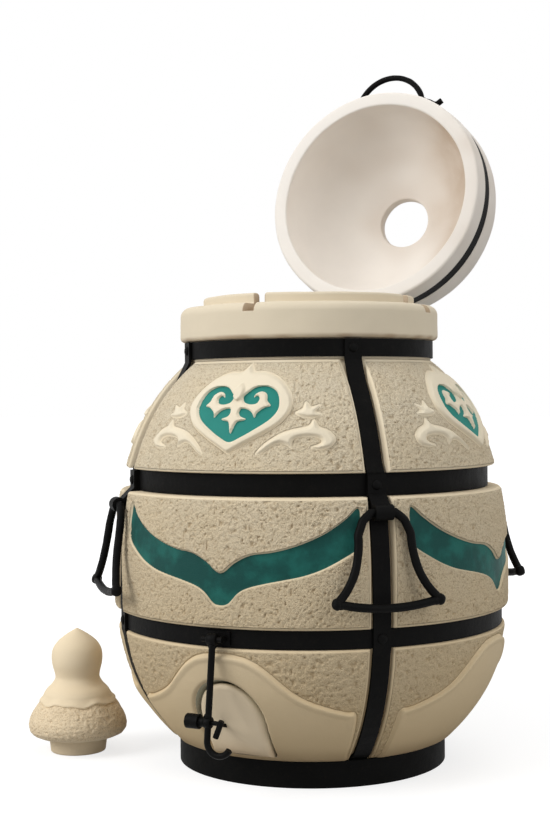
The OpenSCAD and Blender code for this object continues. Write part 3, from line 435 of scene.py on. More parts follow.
def dress(across, z, turned):
    """Relief over the belly in millimetres, and the marks of the finish, at places on one column."""
    heart, field = inside(HEART, turned, z), inside(FIELD, turned, z)
    horns, wing = inside(HORNS, turned / HORN_SPREAD, z), inside(WING, turned, z)
    ogee = inside(OGEE, across - np.radians(1) * belly(z), z)
    scroll = np.maximum(inside(SCROLL, np.abs(turned), z), inside(LEAF, np.abs(turned), z))
    relief = HEART_PROUD * rise(heart, -0.8, 4.0) - FIELD_SUNK * rise(field, -1.2, 0.6)
    relief += HORN_PROUD * rise(horns, -0.6, 1.8)
    relief += 5.0 * rise(scroll, -0.8, 4.5)
    relief -= WING_SUNK * rise(wing, -0.4, 0.9)
    bead_line = rise(ogee, -1, 3) * rise(-ogee, -12, -5) * rise(z, 80, 110)
    relief += np.where(z < LOWER.low, 4.4 * rise(ogee, -1.5, 3.5) + 1.7 * bead_line - 1.4, 0)
    inlay = np.maximum(wing - 1.0, np.minimum(field - 0.5, -horns - 0.3))
    smoothed = np.maximum.reduce([heart + 1, scroll + 0.8, horns + 1, wing, ogee + 1.5])
    proud = np.maximum(rise(np.maximum(heart, scroll), -0.5, 1.5), rise(ogee, -1, 3) * (z < LOWER.low) * 0.6)
    return relief, inlay, smoothed, field, proud


TIERS = {"low": (RING.high + 0.5, LOWER_MID), "mid": (LOWER_MID, UPPER_MID), "top": (UPPER_MID, NECK_FOOT_Z)}
GRID = 1.35
STEPS = {"low": 300, "mid": 336, "top": 280}
WALL_LEAN = 0.25


def tier_rows(low, high):
    """Heights of a tier's rows, with one at each edge of its grooves."""
    rows = list(np.arange(low, high, GRID)) + [high]
    marks = [LOWER.low - GROOVE_GAP, LOWER.high + GROOVE_GAP, UPPER.low - GROOVE_GAP, UPPER.high + GROOVE_GAP]
    for edge in marks:
        if low < edge < high:
            rows = [z for z in rows if abs(z - edge) > 0.6] + [edge - 0.2, edge + 0.2]
    return sorted(rows)


def tier_outline(tier):
    low, high = TIERS[tier]
    rows = tier_rows(low, high)
    skin = [(float(belly(z)), z) for z in rows]
    top_in = THROAT_Z if tier == "top" else high
    low_in = FLOOR_Z if tier == "low" else low
    inner = [(float(belly(z)) - WALL, z) for z in np.linspace(top_in, low_in, 9)]
    foot = [(FOOT_IN_R - 40, CLAY_LOW), (FOOT_IN_R, CLAY_LOW), (FOOT_IN_R, RING.high + 0.5)]
    return skin + inner + (foot if tier == "low" else [])


def warp(turn, z, half_steps):
    """Moves the spin's even columns so that one of them runs along each channel's edge."""
    edge = 45 - np.degrees(CHANNEL_W / 2 / belly(z))
    edge_column = (half_steps - 10) / half_steps * 45
    spread = np.abs(turn)
    # The first column past the edge stands close to it, so that the channel's wall is upright.
    past = np.clip((spread - edge_column) / (45 - edge_column), 0, 1)
    into = np.interp(past, [0, 0.1, 1], [0, WALL_LEAN, CHANNEL_W / 2])
    moved = np.where(spread <= edge_column, spread * edge / edge_column, edge + np.degrees(into / belly(z)))
    return np.sign(turn) * moved, (edge - moved) * np.radians(1) * belly(z)


def pot_panel(tier, column, at):
    steps = STEPS[tier]
    name = f"pot_{tier}_{column}"
    mesh = as_mesh(spun(tier_outline(tier), at - 45, 90, steps), name)
    points = coordinates(mesh)
    radius, z = np.hypot(points[:, 0], points[:, 1]), points[:, 2]
    turn = (np.degrees(np.arctan2(points[:, 0], -points[:, 1])) - at + 180) % 360 - 180
    skin = (radius > belly(z) - WALL / 2) & (z >= TIERS[tier][0] - 0.01)
    # The foot's inner corner stays inside the base ring.
    skin &= (z > RING.high + 1) | (radius > FOOT_IN_R + 1)
    moved, to_channel = warp(turn, z, steps // 2)
    across = np.radians(moved) * belly(z)
    turned = across - np.radians(MOTIF_TURN) * belly(z)
    relief, inlay, smoothed, field, proud = dress(across, z, turned)
    to_groove = np.minimum.reduce([np.abs(z - (b.low + b.high) / 2) - (b.high - b.low) / 2 - GROOVE_GAP
                                   for b in (LOWER, UPPER)])
    edge = np.minimum(to_channel, to_groove)
    if (tier, column) == ("low", "front"):
        edge = np.minimum(edge, np.maximum(-arch_inside(across, z), FLOOR_Z + 3 - z))
    rough = np.minimum(-smoothed, np.minimum(edge - 2.5, NECK_FOOT_Z - 3 - z))
    raised = belly(z) + relief - round_off(edge, 4)
    if tier == "low":
        raised -= round_off(z - RING.high - 0.5, 6)
    angle = np.radians(moved + at)
    spots = np.stack([raised * np.sin(angle), -raised * np.cos(angle), z], 1)
    # The grains are larger round the foot.
    grit = chamotte(spots / (1.5 if tier == "low" else 1.0)) * rise(rough, 0, 2.5)
    wander = grain(spots, 26, 5) * 0.35 + grain(spots, 7, 2) * 0.12
    # No grain stands past the solid's widest place.
    raised = np.minimum(raised + grit + wander, POT_R - 0.1)
    groove = np.where(np.abs(z - LOWER_MID) < 60, LOWER.radius, UPPER.radius) - BAR - 0.4
    raised = np.where(to_groove < 0, groove, raised)
    raised = np.where(to_channel < -WALL_LEAN / 2, np.minimum(raised, strap_floor(z)), raised)
    final = np.where(skin, raised, radius)
    angle = np.where(skin, angle, np.radians(moved + at))
    place(mesh, np.stack([final * np.sin(angle), -final * np.cos(angle), z], 1))
    mark(mesh, "rough", np.where(skin, rough, -1) / 2)
    mark(mesh, "inlay", np.where(skin, inlay, -5))
    # Painted shade: how deep each spot lies in the grain's hollows.
    mark(mesh, "pit_shade", np.where(skin, -grit, 0))
    mark(mesh, "light", (field > -2).astype(float))
    mark(mesh, "raised", np.where(skin, proud, 0))
    # Painted shade: the "foot" mark grows from 520 mm down to 50 mm.
    mark(mesh, "foot", np.clip((520 - z) / 470, 0, 1))
    # Painted shade just above the base ring and along the channel and groove edges; the inner faces take an even 0.35
    # of it.
    above_ring_shade = rise(-z, -75, -38) * (tier == "low")
    mark(mesh, "painted_shade", np.where(skin, np.maximum(above_ring_shade * 0.6, rise(-edge, -1.5, 1) * 0.45), 0.35))
    if (tier, column) == ("low", "front"):
        mesh = cut(mesh, ash_cutter())
    return piece(name, mesh, "pot", POT_CLAY, ["clay_body"], 60)


def arch_inside(across, z):
    """Distance into the ash opening, seen from the front."""
    half = ASH_R - 0.12 * (POT_R - belly(z))
    spring = ASH_SPRING - (POT_R - belly(z)) * CROWN_FALL
    x = belly(z) * np.sin(across / belly(z))
    return np.where(z > spring, half - np.hypot(x, z - spring), half - np.abs(x))


def loft(sections):
    """Closed solid through outlines of the same number of points, each a list of places in millimetres."""
    mesh = bmesh.new()
    rings = []
    for section in sections:
        verts = [mesh.verts.new(Vector(p) * MM) for p in section]
        rings.append([mesh.edges.new(pair) for pair in zip(verts, verts[1:] + verts[:1])])
    for a, b in zip(rings, rings[1:]):
        bmesh.ops.bridge_loops(mesh, edges=a + b)
    for end in (rings[0], rings[-1]):
        bmesh.ops.holes_fill(mesh, edges=end, sides=0)
    bmesh.ops.recalc_face_normals(mesh, faces=mesh.faces)
    return mesh


def ash_cutter():
    near, far = 140.0, POT_R + 12
    return loft([[(x, -y, z) for x, z in arch(y)] for y in (near, far)])


def cut(mesh, cutter):
    """The mesh less the cutter."""
    target = bpy.data.objects.new("target", mesh)
    tool_mesh = as_mesh(cutter, "tool")
    tool = bpy.data.objects.new("tool", tool_mesh)
    for made in (target, tool):
        bpy.context.scene.collection.objects.link(made)
    less = target.modifiers.new("less", "BOOLEAN")
    less.operation, less.solver, less.object = "DIFFERENCE", "EXACT", tool
    shape = target.evaluated_get(bpy.context.evaluated_depsgraph_get())
    result = bpy.data.meshes.new_from_object(shape)
    for made in (target, tool):
        bpy.data.objects.remove(made)
    return result


def pot_floor():
    outline = [(0.0, FLOOR_Z)] + line((0.0, FLOOR_Z), (165.0, FLOOR_Z), 20)[1:] + [(165.0, FLOOR_Z)]
    outline += [(165.0, CLAY_LOW + 1), (0.0, CLAY_LOW + 1)]
    mesh = as_mesh(spun(outline, 0, 360, 96, closed=False), "pot_floor")
    count = len(mesh.vertices)
    mark(mesh, "warm", np.full(count, 0.9))
    mark(mesh, "rough", np.zeros(count))
    return piece("pot_floor", mesh, "pot", RIM_CLAY, ["clay_body"])


# ---- Rim, with its lip and four slots ----
SLOT_HALF, SLOT_FLOOR, SLOT_ROUND = 8.0, 663.0, 2.2


def pot_rim():
    outline = line((NECK_R, NECK_FOOT_Z + 1), (NECK_R, RIM_LOW), 3)
    outline += line((NECK_R, RIM_LOW), (RIM_R - 7, RIM_LOW), 1.5)
    outline += arc((RIM_R - 7, RIM_LOW + 7), 7, -90, 0, 9)
    outline += line((RIM_R, RIM_LOW + 7), (RIM_R, RIM_TOP - 13), 3)[1:]
    outline += arc((RIM_R - 13, RIM_TOP - 13), 13, 0, 90, 14)
    outline += line((RIM_R - 13, RIM_TOP), (LIP_R + 2, RIM_TOP), 2)[1:]
    outline += arc((LIP_R + 2, RIM_TOP + 2), 2, 270, 180, 4)
    outline += line((LIP_R, RIM_TOP + 2), (LIP_R, LIP_TOP - 4), 1.5)[1:]
    outline += arc((LIP_R - 4, LIP_TOP - 4), 4, 0, 90, 7)
    outline += line((LIP_R - 4, LIP_TOP), (MOUTH_R + 4, LIP_TOP), 2)[1:]
    outline += arc((MOUTH_R + 4, LIP_TOP - 4), 4, 90, 180, 7)
    outline += line((MOUTH_R, LIP_TOP - 4), (MOUTH_R, THROAT_Z + 1), 4)[1:]
    outline += [(float(belly(THROAT_Z)) - WALL, THROAT_Z)]
    mesh = as_mesh(spun(outline, 0, 360, 480), "pot_rim")
    points = coordinates(mesh)
    radius, z = np.hypot(points[:, 0], points[:, 1]), points[:, 2]
    turn = np.degrees(np.arctan2(points[:, 0], -points[:, 1]))
    centre = np.round(turn / 90) * 90
    local = turn - centre
    spread = np.abs(local)
    close = np.interp(spread, [0, 3, 9], [0, SLOT_HALF, SLOT_HALF + 3])
    start = np.degrees(np.arcsin((SLOT_HALF + 3) / radius))
    moved = np.where(spread <= 9, np.degrees(np.arcsin(np.clip(close / radius, 0, 1))),
                     start + (spread - 9) / 36 * (45 - start))
    angle = np.radians(np.sign(local) * moved + centre)
    depth = np.maximum(z - SLOT_FLOOR, 0)
    distance = radius * np.sin(np.radians(moved)) - SLOT_HALF
    drop = np.where(distance <= 1e-3, depth, np.minimum(depth, round_off(distance - 0.3, SLOT_ROUND)))
    drop = np.where(moved > 30, 0, drop)
    spots = np.stack([radius * np.sin(angle), -radius * np.cos(angle), z - drop], 1)
    hand_made = grain(spots, 42, 4) * 0.7 + grain(spots, 12, 6) * 0.22
    outside = radius > MOUTH_R + 2
    radius = radius + np.where(outside, hand_made, 0)
    height = spots[:, 2] + np.where((z > RIM_LOW + 8) & (drop < 0.1), hand_made * 0.6, 0)
    place(mesh, np.stack([radius * np.sin(angle), -radius * np.cos(angle), height], 1))
    # Painted shade: browner under the rim's overhang and on the slots' walls. The mouth's inner wall is browner too.
    under_rim_shade = rise(-np.abs(z - RIM_LOW - 1), -7, -1) * (0.65 + 0.5 * grain(spots, 20, 8))
    slot_wall_shade = ((depth > 0.5) & (distance < 1.2)).astype(float) * 0.85
    mark(mesh, "warm", np.clip(np.maximum.reduce([under_rim_shade, slot_wall_shade, (radius < MOUTH_R + 1) * 0.5]), 0, 1))
    mark(mesh, "rough", np.zeros(len(z)))
    return piece("pot_rim", mesh, "pot", RIM_CLAY, ["clay_body"], 40)


# ---- Ash door ----
DOOR_FOOT_Y, DOOR_CROWN_Y, DOOR_T = 225.0, 283.0, 45.0


def ash_door():
    low = FLOOR_Z + SILL_GAP
    crown = ASH_SPRING + ASH_R - ASH_GAP
    mesh = loft([[(x, -y, z) for x, z in arch(y, ASH_GAP, low)] for y in (143.0, POT_R)])
    slope = (DOOR_CROWN_Y - DOOR_FOOT_Y) / (crown - low)
    normal = Vector((0, -1, -slope)).normalized()
    for offset, side in ((0.0, 1), (DOOR_T, -1)):
        spot = Vector((0, -(DOOR_FOOT_Y - offset), low)) * MM
        everything = mesh.verts[:] + mesh.edges[:] + mesh.faces[:]
        bmesh.ops.bisect_plane(mesh, geom=everything, plane_co=spot, plane_no=normal * side, clear_outer=True)
        rims = [edge for edge in mesh.edges if edge.is_boundary]
        bmesh.ops.holes_fill(mesh, edges=rims, sides=0)
    bmesh.ops.recalc_face_normals(mesh, faces=mesh.faces)
    face = max(mesh.faces, key=lambda f: f.normal.dot(normal))
    bmesh.ops.bevel(mesh, geom=list(face.edges), offset=12 * MM, offset_type="OFFSET", affect="EDGES",
                    segments=6, profile=0.5, material=-1, clamp_overlap=True)
    bmesh.ops.triangulate(mesh, faces=[f for f in mesh.faces if len(f.verts) > 4])
    for _ in range(3):
        long = [edge for edge in mesh.edges if edge.calc_length() > 6 * MM]
        bmesh.ops.subdivide_edges(mesh, edges=long, cuts=1, use_grid_fill=True)
        bmesh.ops.triangulate(mesh, faces=[f for f in mesh.faces if len(f.verts) > 4])
    made = as_mesh(mesh, "ash_door")
    points = coordinates(made)
    lift = grain(points, 22, 9) * 0.5
    points[:, 1] -= lift
    place(made, points)
    # Painted shade: the face browns towards its foot, where it faces down and away from the light.
    mark(made, "warm", np.clip(rise(-points[:, 2], -80, -45) * 0.8 + 0.15 * grain(points, 30, 3), 0, 1))
    mark(made, "rough", np.zeros(len(points)))
    return piece("ash_door_face", made, "door", DOOR_CLAY, ["ash_door"], 35)


# ---- Lid ----
LID_SIDE_R, LID_FACE_R, LID_SIDE_H, LID_H = 186.0, 184.0, 74.0, 172.0
SOCKET_R, SOCKET_H, LID_IN_H, VENT_R, VENT_L, FLARE_R = 161.0, 17.0, 140.0, 43.5, 18.0, 50.0
LID_Z = RIM_TOP + 0.3
BAND_LOW, BAND_HIGH, BAND_OUT = 32.0, 52.0, 184.5


def opened():
    """Takes a place on the closed lid to the same place on the open one."""
    hinge = JOINTS["lid_hinge"]
    at = Vector(hinge["pos_m"])
    turn = Matrix.Rotation(-math.radians(hinge["range_deg"][1]), 4, Vector(hinge["axis"]))
    return Matrix.Translation(at) @ turn @ Matrix.Translation(-at)


def lid():
    groove = BAND_OUT - BAR - 0.4
    outline = arc((LID_FACE_R - 5, 5), 5, -90, 0, 8)
    outline += line((LID_FACE_R, 5), (LID_SIDE_R, BAND_LOW - 4), 3)[1:]
    outline += arc((LID_SIDE_R - 3, BAND_LOW - 4), 3, 0, 90, 5)
    outline += [(groove, BAND_LOW - 0.8), (groove, BAND_HIGH + 0.8)]
    outline += arc((LID_SIDE_R - 3, BAND_HIGH + 4), 3, -90, 0, 5)
    outline += line((LID_SIDE_R, BAND_HIGH + 4), (LID_SIDE_R, LID_SIDE_H), 3)[1:]
    end = math.degrees(math.acos(FLARE_R / LID_SIDE_R))
    rise_out = LID_H - LID_SIDE_H
    outline += [(LID_SIDE_R * math.cos(math.radians(a)), LID_SIDE_H + rise_out * math.sin(math.radians(a)))
                for a in np.linspace(1, end - 1.2, 46)]
    vent_top = LID_IN_H + VENT_L
    outline += arc((FLARE_R + 1, vent_top + 4), 4, 60, 180, 6)
    outline += [(VENT_R, vent_top - 2)] + line((VENT_R, vent_top - 2), (VENT_R, LID_IN_H + 3), 3)[1:]
    outline += arc((VENT_R + 3, LID_IN_H + 2.5), 3, 180, 270, 5)
    rise_in = (LID_IN_H - SOCKET_H) / math.sqrt(1 - (VENT_R / SOCKET_R) ** 2)
    first = math.degrees(math.acos(VENT_R / SOCKET_R))
    outline += [(SOCKET_R * math.cos(math.radians(a)), SOCKET_H + rise_in * math.sin(math.radians(a)))
                for a in np.linspace(first - 2, 0, 46)]
    outline += line((SOCKET_R, SOCKET_H), (SOCKET_R, 3), 3)[1:]
    outline += arc((SOCKET_R + 3, 3), 3, 180, 270, 5)
    mesh = as_mesh(spun([(r, z + LID_Z) for r, z in outline], 0, 360, 240), "lid")
    points = coordinates(mesh)
    radius, z = np.hypot(points[:, 0], points[:, 1]), points[:, 2] - LID_Z
    inner_z = SOCKET_H + rise_in * np.sqrt(np.clip(1 - (radius / SOCKET_R) ** 2, 0, 1))
    bowl = (radius < SOCKET_R + 1) & (z < inner_z + 8) & (z > 4)
    # Painted shade: inside the bowl, browner towards its right and, deep in the bowl, towards the open lid's top;
    # outside, browner on the right. Round the vent it is browner too.
    near_vent = rise(-radius, -95, -46) * (z > 60)
    crown_shade = rise(-points[:, 1], 30, 150)
    right_shade = rise(points[:, 0], 20, 130)
    warm = np.where(bowl, 0.05 + 0.3 * rise(z, 10, 120) * crown_shade + 0.3 * near_vent + 0.9 * right_shade,
                    near_vent * 0.3 + 0.35 * rise(points[:, 0], 60, 190))
    uneven = grain(points, 50, 11) * 0.5 + grain(points, 14, 12) * 0.15
    away = 1 + uneven / np.maximum(radius, 40)
    away = np.where((radius > VENT_R + 3) & (np.abs(z - 42) > 14), away, 1)
    points[:, 0] *= away
    points[:, 1] *= away
    place(mesh, points)
    mark(mesh, "warm", np.clip(warm + 0.12 * grain(points, 40, 13), 0, 1))
    mark(mesh, "rough", np.full(len(z), 0.0))
    mesh.transform(opened())
    return piece("lid_clay", mesh, "lid", LID_CLAY, ["lid_shell"], 40)


# ---- Cap ----
def cap():
    low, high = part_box("cap")
    middle, height = (low + high) / 2 / MM, (high.z - low.z) / MM
    spigot_h, skirt_r = 24.0, 76.5
    outline = [(0.0, 0.0)] + line((0, 0), (39, 0), 6)[1:] + arc((39.5, 2.5), 2.5, -90, 0, 5)
    outline += line((42, 2.5), (45, spigot_h), 2)[1:] + line((45, spigot_h), (62, spigot_h + 1), 3)
    bulge = [(62, 25), (69.5, 28.5), (74, 34.5), (75.2, 43), (73.2, 52), (68.6, 61), (62.6, 70), (57, 76)]
    outline += [p for a, b in zip(bulge, bulge[1:]) for p in line(a, b, 1.4)]
    outline += [(57, 76.5), (58, 77), (58.4, 78.5), (57, 80.5)]
    upper = [(54, 83.5), (52, 87), (50.4, 91), (46.3, 97), (40.2, 103), (35.6, 109.5), (33.8, 115), (35.3, 123),
             (37.8, 132), (39, 141), (38.5, 151), (35.8, 160), (29.4, 169), (19, 177.5), (9.5, 183.6), (0, height)]
    outline += [(r, z) for r, z in flow(upper, 4)]
    mesh = as_mesh(spun(outline, 0, 360, 200, closed=False), "cap")
    points = coordinates(mesh)
    radius, z = np.hypot(points[:, 0], points[:, 1]), points[:, 2]
    turn = np.arctan2(points[:, 0], -points[:, 1])
    wave = 1.8 * np.sin(6 * turn + 0.6) + 1.1 * np.sin(11 * turn + 2)
    z = z + wave * rise(-np.abs(z - 78), -14, -2)
    skirt = rise(z, 26, 31) * rise(-(z - wave), -79, -75) * (radius > 46)
    spots = np.stack([points[:, 0], points[:, 1], z], 1)
    grown = radius + chamotte(spots) * 0.9 * skirt + grain(spots, 24, 21) * 0.8 * (radius > 30)
    grown = np.minimum(grown, skirt_r)
    share = np.where(radius > 1e-6, grown / np.maximum(radius, 1e-6), 1)
    place(mesh, np.stack([points[:, 0] * share + middle.x, points[:, 1] * share + middle.y, z], 1))
    mark(mesh, "warm", np.clip(0.35 * skirt + 0.25 * rise(-z, -26, -4) + 0.1 * grain(spots, 30, 5), 0, 1))
    mark(mesh, "rough", skirt)
    return piece("cap_clay", mesh, "cap", CAP_CLAY, ["cap"], 60)


# ---- Rods ----
def flow(points, cuts=5):
    """Open run of places, rounded through its own points."""
    p = np.array(points, float)
    p = np.vstack([2 * p[0] - p[1], p, 2 * p[-1] - p[-2]])
    a, b, c, d = p[:-3], p[1:-2], p[2:-1], p[3:]
    runs = [0.5 * (2 * b + (c - a) * t + (2 * a - 5 * b + 4 * c - d) * t**2 + (3 * b - a - 3 * c + d) * t**3)
            for t in np.arange(cuts) / cuts]
    return np.vstack([np.stack(runs, 1).reshape(-1, p.shape[1]), p[-2]])


def rod(name, points, radius, seed, hammered=0.25):
    """Hand-forged round rod along a run of places, with closed ends."""
    curve = bpy.data.curves.new(name, "CURVE")
    curve.dimensions, curve.bevel_depth, curve.bevel_resolution = "3D", radius * MM, 5
    curve.use_fill_caps = True
    spline = curve.splines.new("POLY")
    spline.points.add(len(points) - 1)
    for knot, spot in zip(spline.points, points):
        knot.co = (*(np.array(spot) * MM), 1)
    holder = bpy.data.objects.new(name, curve)
    bpy.context.scene.collection.objects.link(holder)
    shape = holder.evaluated_get(bpy.context.evaluated_depsgraph_get())
    mesh = bpy.data.meshes.new_from_object(shape)
    bpy.data.objects.remove(holder)
    bmesh_ = bmesh.new()
    bmesh_.from_mesh(mesh)
    bmesh.ops.remove_doubles(bmesh_, verts=bmesh_.verts, dist=1e-6)
    bmesh.ops.recalc_face_normals(bmesh_, faces=bmesh_.faces)
    spots = np.array([v.co for v in bmesh_.verts]) / MM
    push = grain(spots, 9, seed) * hammered
    for vert, amount in zip(bmesh_.verts, push):
        vert.co += vert.normal * float(amount) * MM
    return bmesh_


def bead(mesh, spot, size, seed):
    """Weld bead: a lumpy, flattened ball joined to a rod's mesh."""
    made = bmesh.ops.create_icosphere(mesh, subdivisions=3, radius=MM)["verts"]
    spots = np.array([v.co for v in made]) / MM
    lumps = 1 + 0.16 * grain(spots * 6, 5, seed)
    for vert, lump in zip(made, lumps):
        vert.co = Vector(np.array(vert.co) * size * lump) + Vector(spot) * MM


def bell(s):
    return 0.32 * min(1, s / 0.25) ** 0.6 + 0.68 * s**3.5


PIVOT_R, PIVOT_Z, ROD_D, TOP_W, CORNER_W, DROP, SAG, LEAN = 296.0, 388.0, 12.0, 40.0, 145.0, 117.0, 9.0, 9.0


def bail(corner, at):
    legs = [(TOP_W / 2 + (CORNER_W - TOP_W) / 2 * bell(i / 12), 0, -DROP * i / 12) for i in range(13)]
    grip = [(s * CORNER_W / 2, 0, -DROP - SAG * (1 - s * s)) for s in np.linspace(1, -1, 15)]
    corner_r = ROD_D / 2 + 0.6
    place_it = (Matrix.Rotation(math.radians(at), 4, "Z") @ Matrix.Translation(Vector((0, -PIVOT_R, PIVOT_Z)) * MM)
                @ Matrix.Rotation(math.radians(-LEAN), 4, "X"))
    top = [(0, 0, 0), (TOP_W / 2 - 3, 0, 0)]
    run = [tuple(p) for p in flow(top[1:] + legs[1:], 4)]
    whole = [(0, 0, 0)] + run
    mesh = rod(f"bail_{corner}", whole, ROD_D / 2 - 0.2, at % 7 + 31)
    for part in ([(-x, y, z) for x, y, z in whole], flow(grip, 3)):
        other = rod("part", [tuple(p) for p in part], ROD_D / 2 - 0.2, at % 5 + 41)
        spare = as_mesh(other, "spare")
        mesh.from_mesh(spare)
        bpy.data.meshes.remove(spare)
    for side in (-1, 1):
        bead(mesh, (side * (CORNER_W / 2 + 0.5), 0, -DROP), (corner_r * 1.1, corner_r * 1.15, corner_r * 1.2), 51)
        bead(mesh, (side * (CORNER_W / 2 - 5), 0, -DROP - 2), (corner_r, corner_r * 1.05, corner_r * 0.9), 53)
    mesh.transform(place_it)
    return piece(f"bail_rod_{corner}", mesh, f"bail_{corner}", ROD_IRON, [f"bail_{corner}"], 60)


EYE_Y, EYE_Z, LATCH_Y, LATCH_Z, ARM_D, ARM_LEAN = 302.0, LOWER_MID, 308.0, 109.0, 9.5, 5.0
HOOK_R, HOOK_Z, HOOK_TURN, EYE_W, BOSS_R, BOSS_W = 18.0, 84.0, 150.0, 14.0, 8.0, 10.0


def tube(outer, inner, width):
    """Short tube along X, round its own middle."""
    outline = [(inner, -width / 2), (outer - 1, -width / 2), (outer, -width / 2 + 1), (outer, width / 2 - 1),
               (outer - 1, width / 2), (inner, width / 2)]
    mesh = spun(outline, 0, 360, 40)
    mesh.transform(Matrix.Rotation(math.radians(90), 4, "Y"))
    return mesh


def add(mesh, other, matrix):
    spare = as_mesh(other, "spare")
    spare.transform(matrix)
    mesh.from_mesh(spare)
    bpy.data.meshes.remove(spare)


def door_arm():
    length = math.hypot(LATCH_Y - EYE_Y, EYE_Z - LATCH_Z)
    tilt = math.atan2(LATCH_Y - EYE_Y, EYE_Z - LATCH_Z)
    drop = EYE_Z - HOOK_Z
    latch_x = -ARM_LEAN * (length - 8) / (drop - 8)
    hook = [(HOOK_R - ARM_LEAN + HOOK_R * math.cos(math.radians(a)), 0, HOOK_R * math.sin(math.radians(a)) - drop)
            for a in np.linspace(180, 180 + HOOK_TURN, 24)]
    mesh = rod("arm", [(0, 0, -8)] + hook, ARM_D / 2 - 0.2, 61)
    add(mesh, tube(8.0, 4.1, EYE_W), Matrix.Identity(4))
    add(mesh, tube(BOSS_R, 3.1, BOSS_W), Matrix.Translation(Vector((latch_x, 0, -length)) * MM))
    bead(mesh, (0, 0, -9), (6.2, 5.6, 5.5), 63)
    bead(mesh, (latch_x, -1, -length + 8), (5.6, 5.4, 5), 65)
    mesh.transform(Matrix.Translation(Vector((0, -EYE_Y, EYE_Z)) * MM) @ Matrix.Rotation(-tilt, 4, "X"))
    return piece("door_arm_rod", mesh, "door_arm", ROD_IRON, ["door_arm"], 50)


GRIP_D, GRIP_RISE, GRIP_SPAN, GRIP_TAIL = 10.0, 37.0, 116.0, 25.0


def lid_handle():
    seat = BAND_OUT + GRIP_D / 2 + 0.3
    foot_y = math.sqrt(seat**2 - (GRIP_SPAN / 2) ** 2)
    sag = seat + GRIP_RISE - foot_y
    bow_r = ((GRIP_SPAN / 2) ** 2 + sag**2) / (2 * sag)
    bow_y = seat + GRIP_RISE - bow_r
    turn = math.acos((foot_y - bow_y) / bow_r)
    tail = math.asin((GRIP_SPAN / 2 + GRIP_TAIL) / seat)
    foot = math.asin(GRIP_SPAN / 2 / seat)

    def at(radius, angle, middle=0.0):
        return (radius * math.sin(angle), -middle - radius * math.cos(angle), 0)

    half = [at(seat + GRIP_D, tail + math.radians(2)), at(seat, tail), at(seat, (tail + foot) / 2)]
    half += [at(bow_r, turn * i / 8, bow_y) for i in range(8, 0, -1)]
    run = half + [at(seat + GRIP_RISE, 0)] + [(-x, y, z) for x, y, z in reversed(half)]
    mesh = rod("handle", [tuple(p) for p in flow(run, 4)], GRIP_D / 2 - 0.2, 71)
    for side in (-1, 1):
        bead(mesh, (side * GRIP_SPAN / 2, -foot_y, 0), (7, 6, 5.5), 73)
    band_mid = LID_Z + (BAND_LOW + BAND_HIGH) / 2
    mesh.transform(opened() @ Matrix.Translation((0, 0, band_mid * MM)))
    return piece("lid_handle_rod", mesh, "lid", ROD_IRON, ["lid_handle"], 60)


# ---- Solids that stay, with a finish ----
KEPT = {
    FLAT_IRON: ["lower_band", "upper_band", "neck_band", "lid_band", "hinge_bracket", "hinge_leaf"]
    + [f"strap_{corner}" for corner in CORNERS] + [f"bracket_{corner}" for corner in CORNERS],
    RING_IRON: ["base_ring", "base_cross"],
    ROD_IRON: ["door_eye", "latch_pin", "latch_knob", "door_strap", "hinge_pin", "stop_bar"],
    RIVET_IRON: ["strap_rivets", "bracket_rivets", "hinge_rivets", "leaf_rivets"],
    GRATE_IRON: ["fire_grate", "grate_legs"],
}


def finish_solids():
    for finish, names in KEPT.items():
        for name in names:
            made = nodes[name]
            made.data.materials.clear()
            made.data.materials.append(finish)


# ---- Stage ----
# The floor is a mid grey that takes the shadow, and its glow brings it up to white where it is seen.
FLOOR_GREY, FLOOR_GLOW, FAR_GLOW, SKY_LIGHT = 0.42, 0.73, 1.0, 0.40
# The lamps fall off from this many metres, and the glow makes up for it by the second distance.
GLOW_FROM, GLOW_TO = 0.7, 2.2


def seen_white(tree):
    """1 for rays that see the background: the camera's own, and those through gloss or glass."""
    path = tree.nodes.new("ShaderNodeLightPath")
    seen = path.outputs["Is Camera Ray"]
    for ray in ("Is Glossy Ray", "Is Transmission Ray"):
        either = tree.nodes.new("ShaderNodeMath")
        either.operation = "MAXIMUM"
        tree.links.new(seen, either.inputs[0])
        tree.links.new(path.outputs[ray], either.inputs[1])
        seen = either.outputs[0]
    return seen


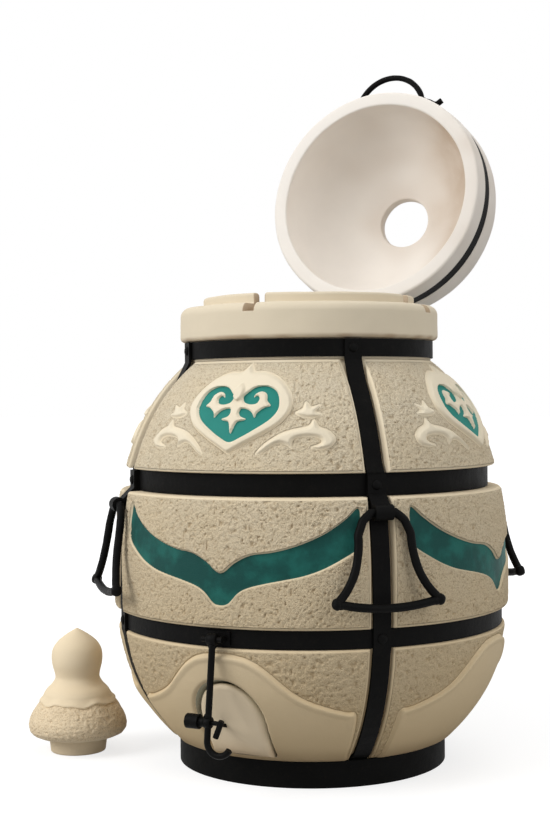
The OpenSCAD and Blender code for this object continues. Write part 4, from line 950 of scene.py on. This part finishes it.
def stage():
    floor_mesh = bmesh.new()
    bmesh.ops.create_grid(floor_mesh, x_segments=1, y_segments=1, size=30)
    made = bpy.data.objects.new("floor", as_mesh(floor_mesh, "floor"))
    bpy.context.scene.collection.objects.link(made)
    material = bpy.data.materials.new("floor")
    material.use_nodes = True
    tree = material.node_tree
    tree.nodes.clear()
    new, link = tree.nodes.new, tree.links.new
    out, both, glow = new("ShaderNodeOutputMaterial"), new("ShaderNodeAddShader"), new("ShaderNodeEmission")
    lit, share = new("ShaderNodeBsdfDiffuse"), new("ShaderNodeMath")
    lit.inputs["Color"].default_value = (FLOOR_GREY, FLOOR_GREY, FLOOR_GREY, 1)
    share.operation = "MULTIPLY"
    spot, away, far = new("ShaderNodeTexCoord"), new("ShaderNodeVectorMath"), new("ShaderNodeMapRange")
    away.operation = "LENGTH"
    for socket, value in (("From Min", GLOW_FROM), ("From Max", GLOW_TO), ("To Min", FLOOR_GLOW), ("To Max", FAR_GLOW)):
        far.inputs[socket].default_value = value
    link(spot.outputs["Object"], away.inputs[0])
    link(away.outputs["Value"], far.inputs["Value"])
    link(far.outputs[0], share.inputs[1])
    link(seen_white(tree), share.inputs[0])
    link(share.outputs[0], glow.inputs["Strength"])
    link(lit.outputs[0], both.inputs[0])
    link(glow.outputs[0], both.inputs[1])
    link(both.outputs[0], out.inputs["Surface"])
    made.data.materials.append(material)

    world = bpy.data.worlds.new("studio")
    bpy.context.scene.world = world
    world.use_nodes = True
    tree = world.node_tree
    sky = tree.nodes["Background"]
    strength = tree.nodes.new("ShaderNodeMapRange")
    strength.inputs["To Min"].default_value = SKY_LIGHT
    strength.inputs["To Max"].default_value = 1.0
    tree.links.new(seen_white(tree), strength.inputs["Value"])
    tree.links.new(strength.outputs[0], sky.inputs["Strength"])
    sky.inputs["Color"].default_value = (1, 1, 1, 1)


def lamp(name, azimuth, elevation, distance, size, power):
    """Square soft lamp aimed at the oven's middle. Azimuth is from the front towards +X."""
    a, e = math.radians(azimuth), math.radians(elevation)
    away = Vector((math.sin(a) * math.cos(e), -math.cos(a) * math.cos(e), math.sin(e)))
    data = bpy.data.lights.new(name, "AREA")
    data.size, data.energy = size, power
    made = bpy.data.objects.new(name, data)
    made.location = away * distance + Vector((0, 0, 0.45))
    made.rotation_mode = "QUATERNION"
    made.rotation_quaternion = away.to_track_quat("Z", "Y")
    bpy.context.scene.collection.objects.link(made)


def camera():
    """The photograph's camera: its place, its aim in degrees, and its focal length in pixels."""
    around, distance, height = 26.0, 2.224, 0.544
    yaw, pitch, roll = (math.radians(v) for v in (1.346, -0.658, -0.520))
    focal, long_side, sensor = 1467.6, 825, 36.0
    right = Vector((math.cos(yaw), math.sin(yaw), 0))
    level = Vector((-math.sin(yaw), math.cos(yaw), 0))
    ahead = math.cos(pitch) * level + math.sin(pitch) * Vector((0, 0, 1))
    up = -math.sin(pitch) * level + math.cos(pitch) * Vector((0, 0, 1))
    side = math.cos(roll) * right + math.sin(roll) * up
    above = -math.sin(roll) * right + math.cos(roll) * up
    data = bpy.data.cameras.new("camera")
    data.sensor_width, data.lens = sensor, focal / long_side * sensor
    made = bpy.data.objects.new("camera", data)
    turn = Matrix.Rotation(math.radians(around), 4, "Z")
    axes = Matrix((side, above, -ahead)).transposed().to_4x4()
    made.matrix_world = turn @ Matrix.Translation((0, -distance, height)) @ axes
    bpy.context.scene.collection.objects.link(made)
    bpy.context.scene.camera = made


camera()
stage()
lamp("key", -38, 28, 3.2, 1.8, 60)
lamp("top", 20, 75, 3.2, 2.0, 14)
lamp("fill", 72, 26, 3.6, 2.4, 32)
lamp("back", 180, 55, 3.2, 2.0, 18)
bpy.context.scene.view_settings.view_transform = "Standard"

for tier_name in TIERS:
    for column_name, column_at in COLUMNS.items():
        pot_panel(tier_name, column_name, column_at)
pot_floor()
pot_rim()
ash_door()
lid()
cap()
for corner_name, corner_at in CORNERS.items():
    bail(corner_name, corner_at)
door_arm()
lid_handle()
finish_solids()
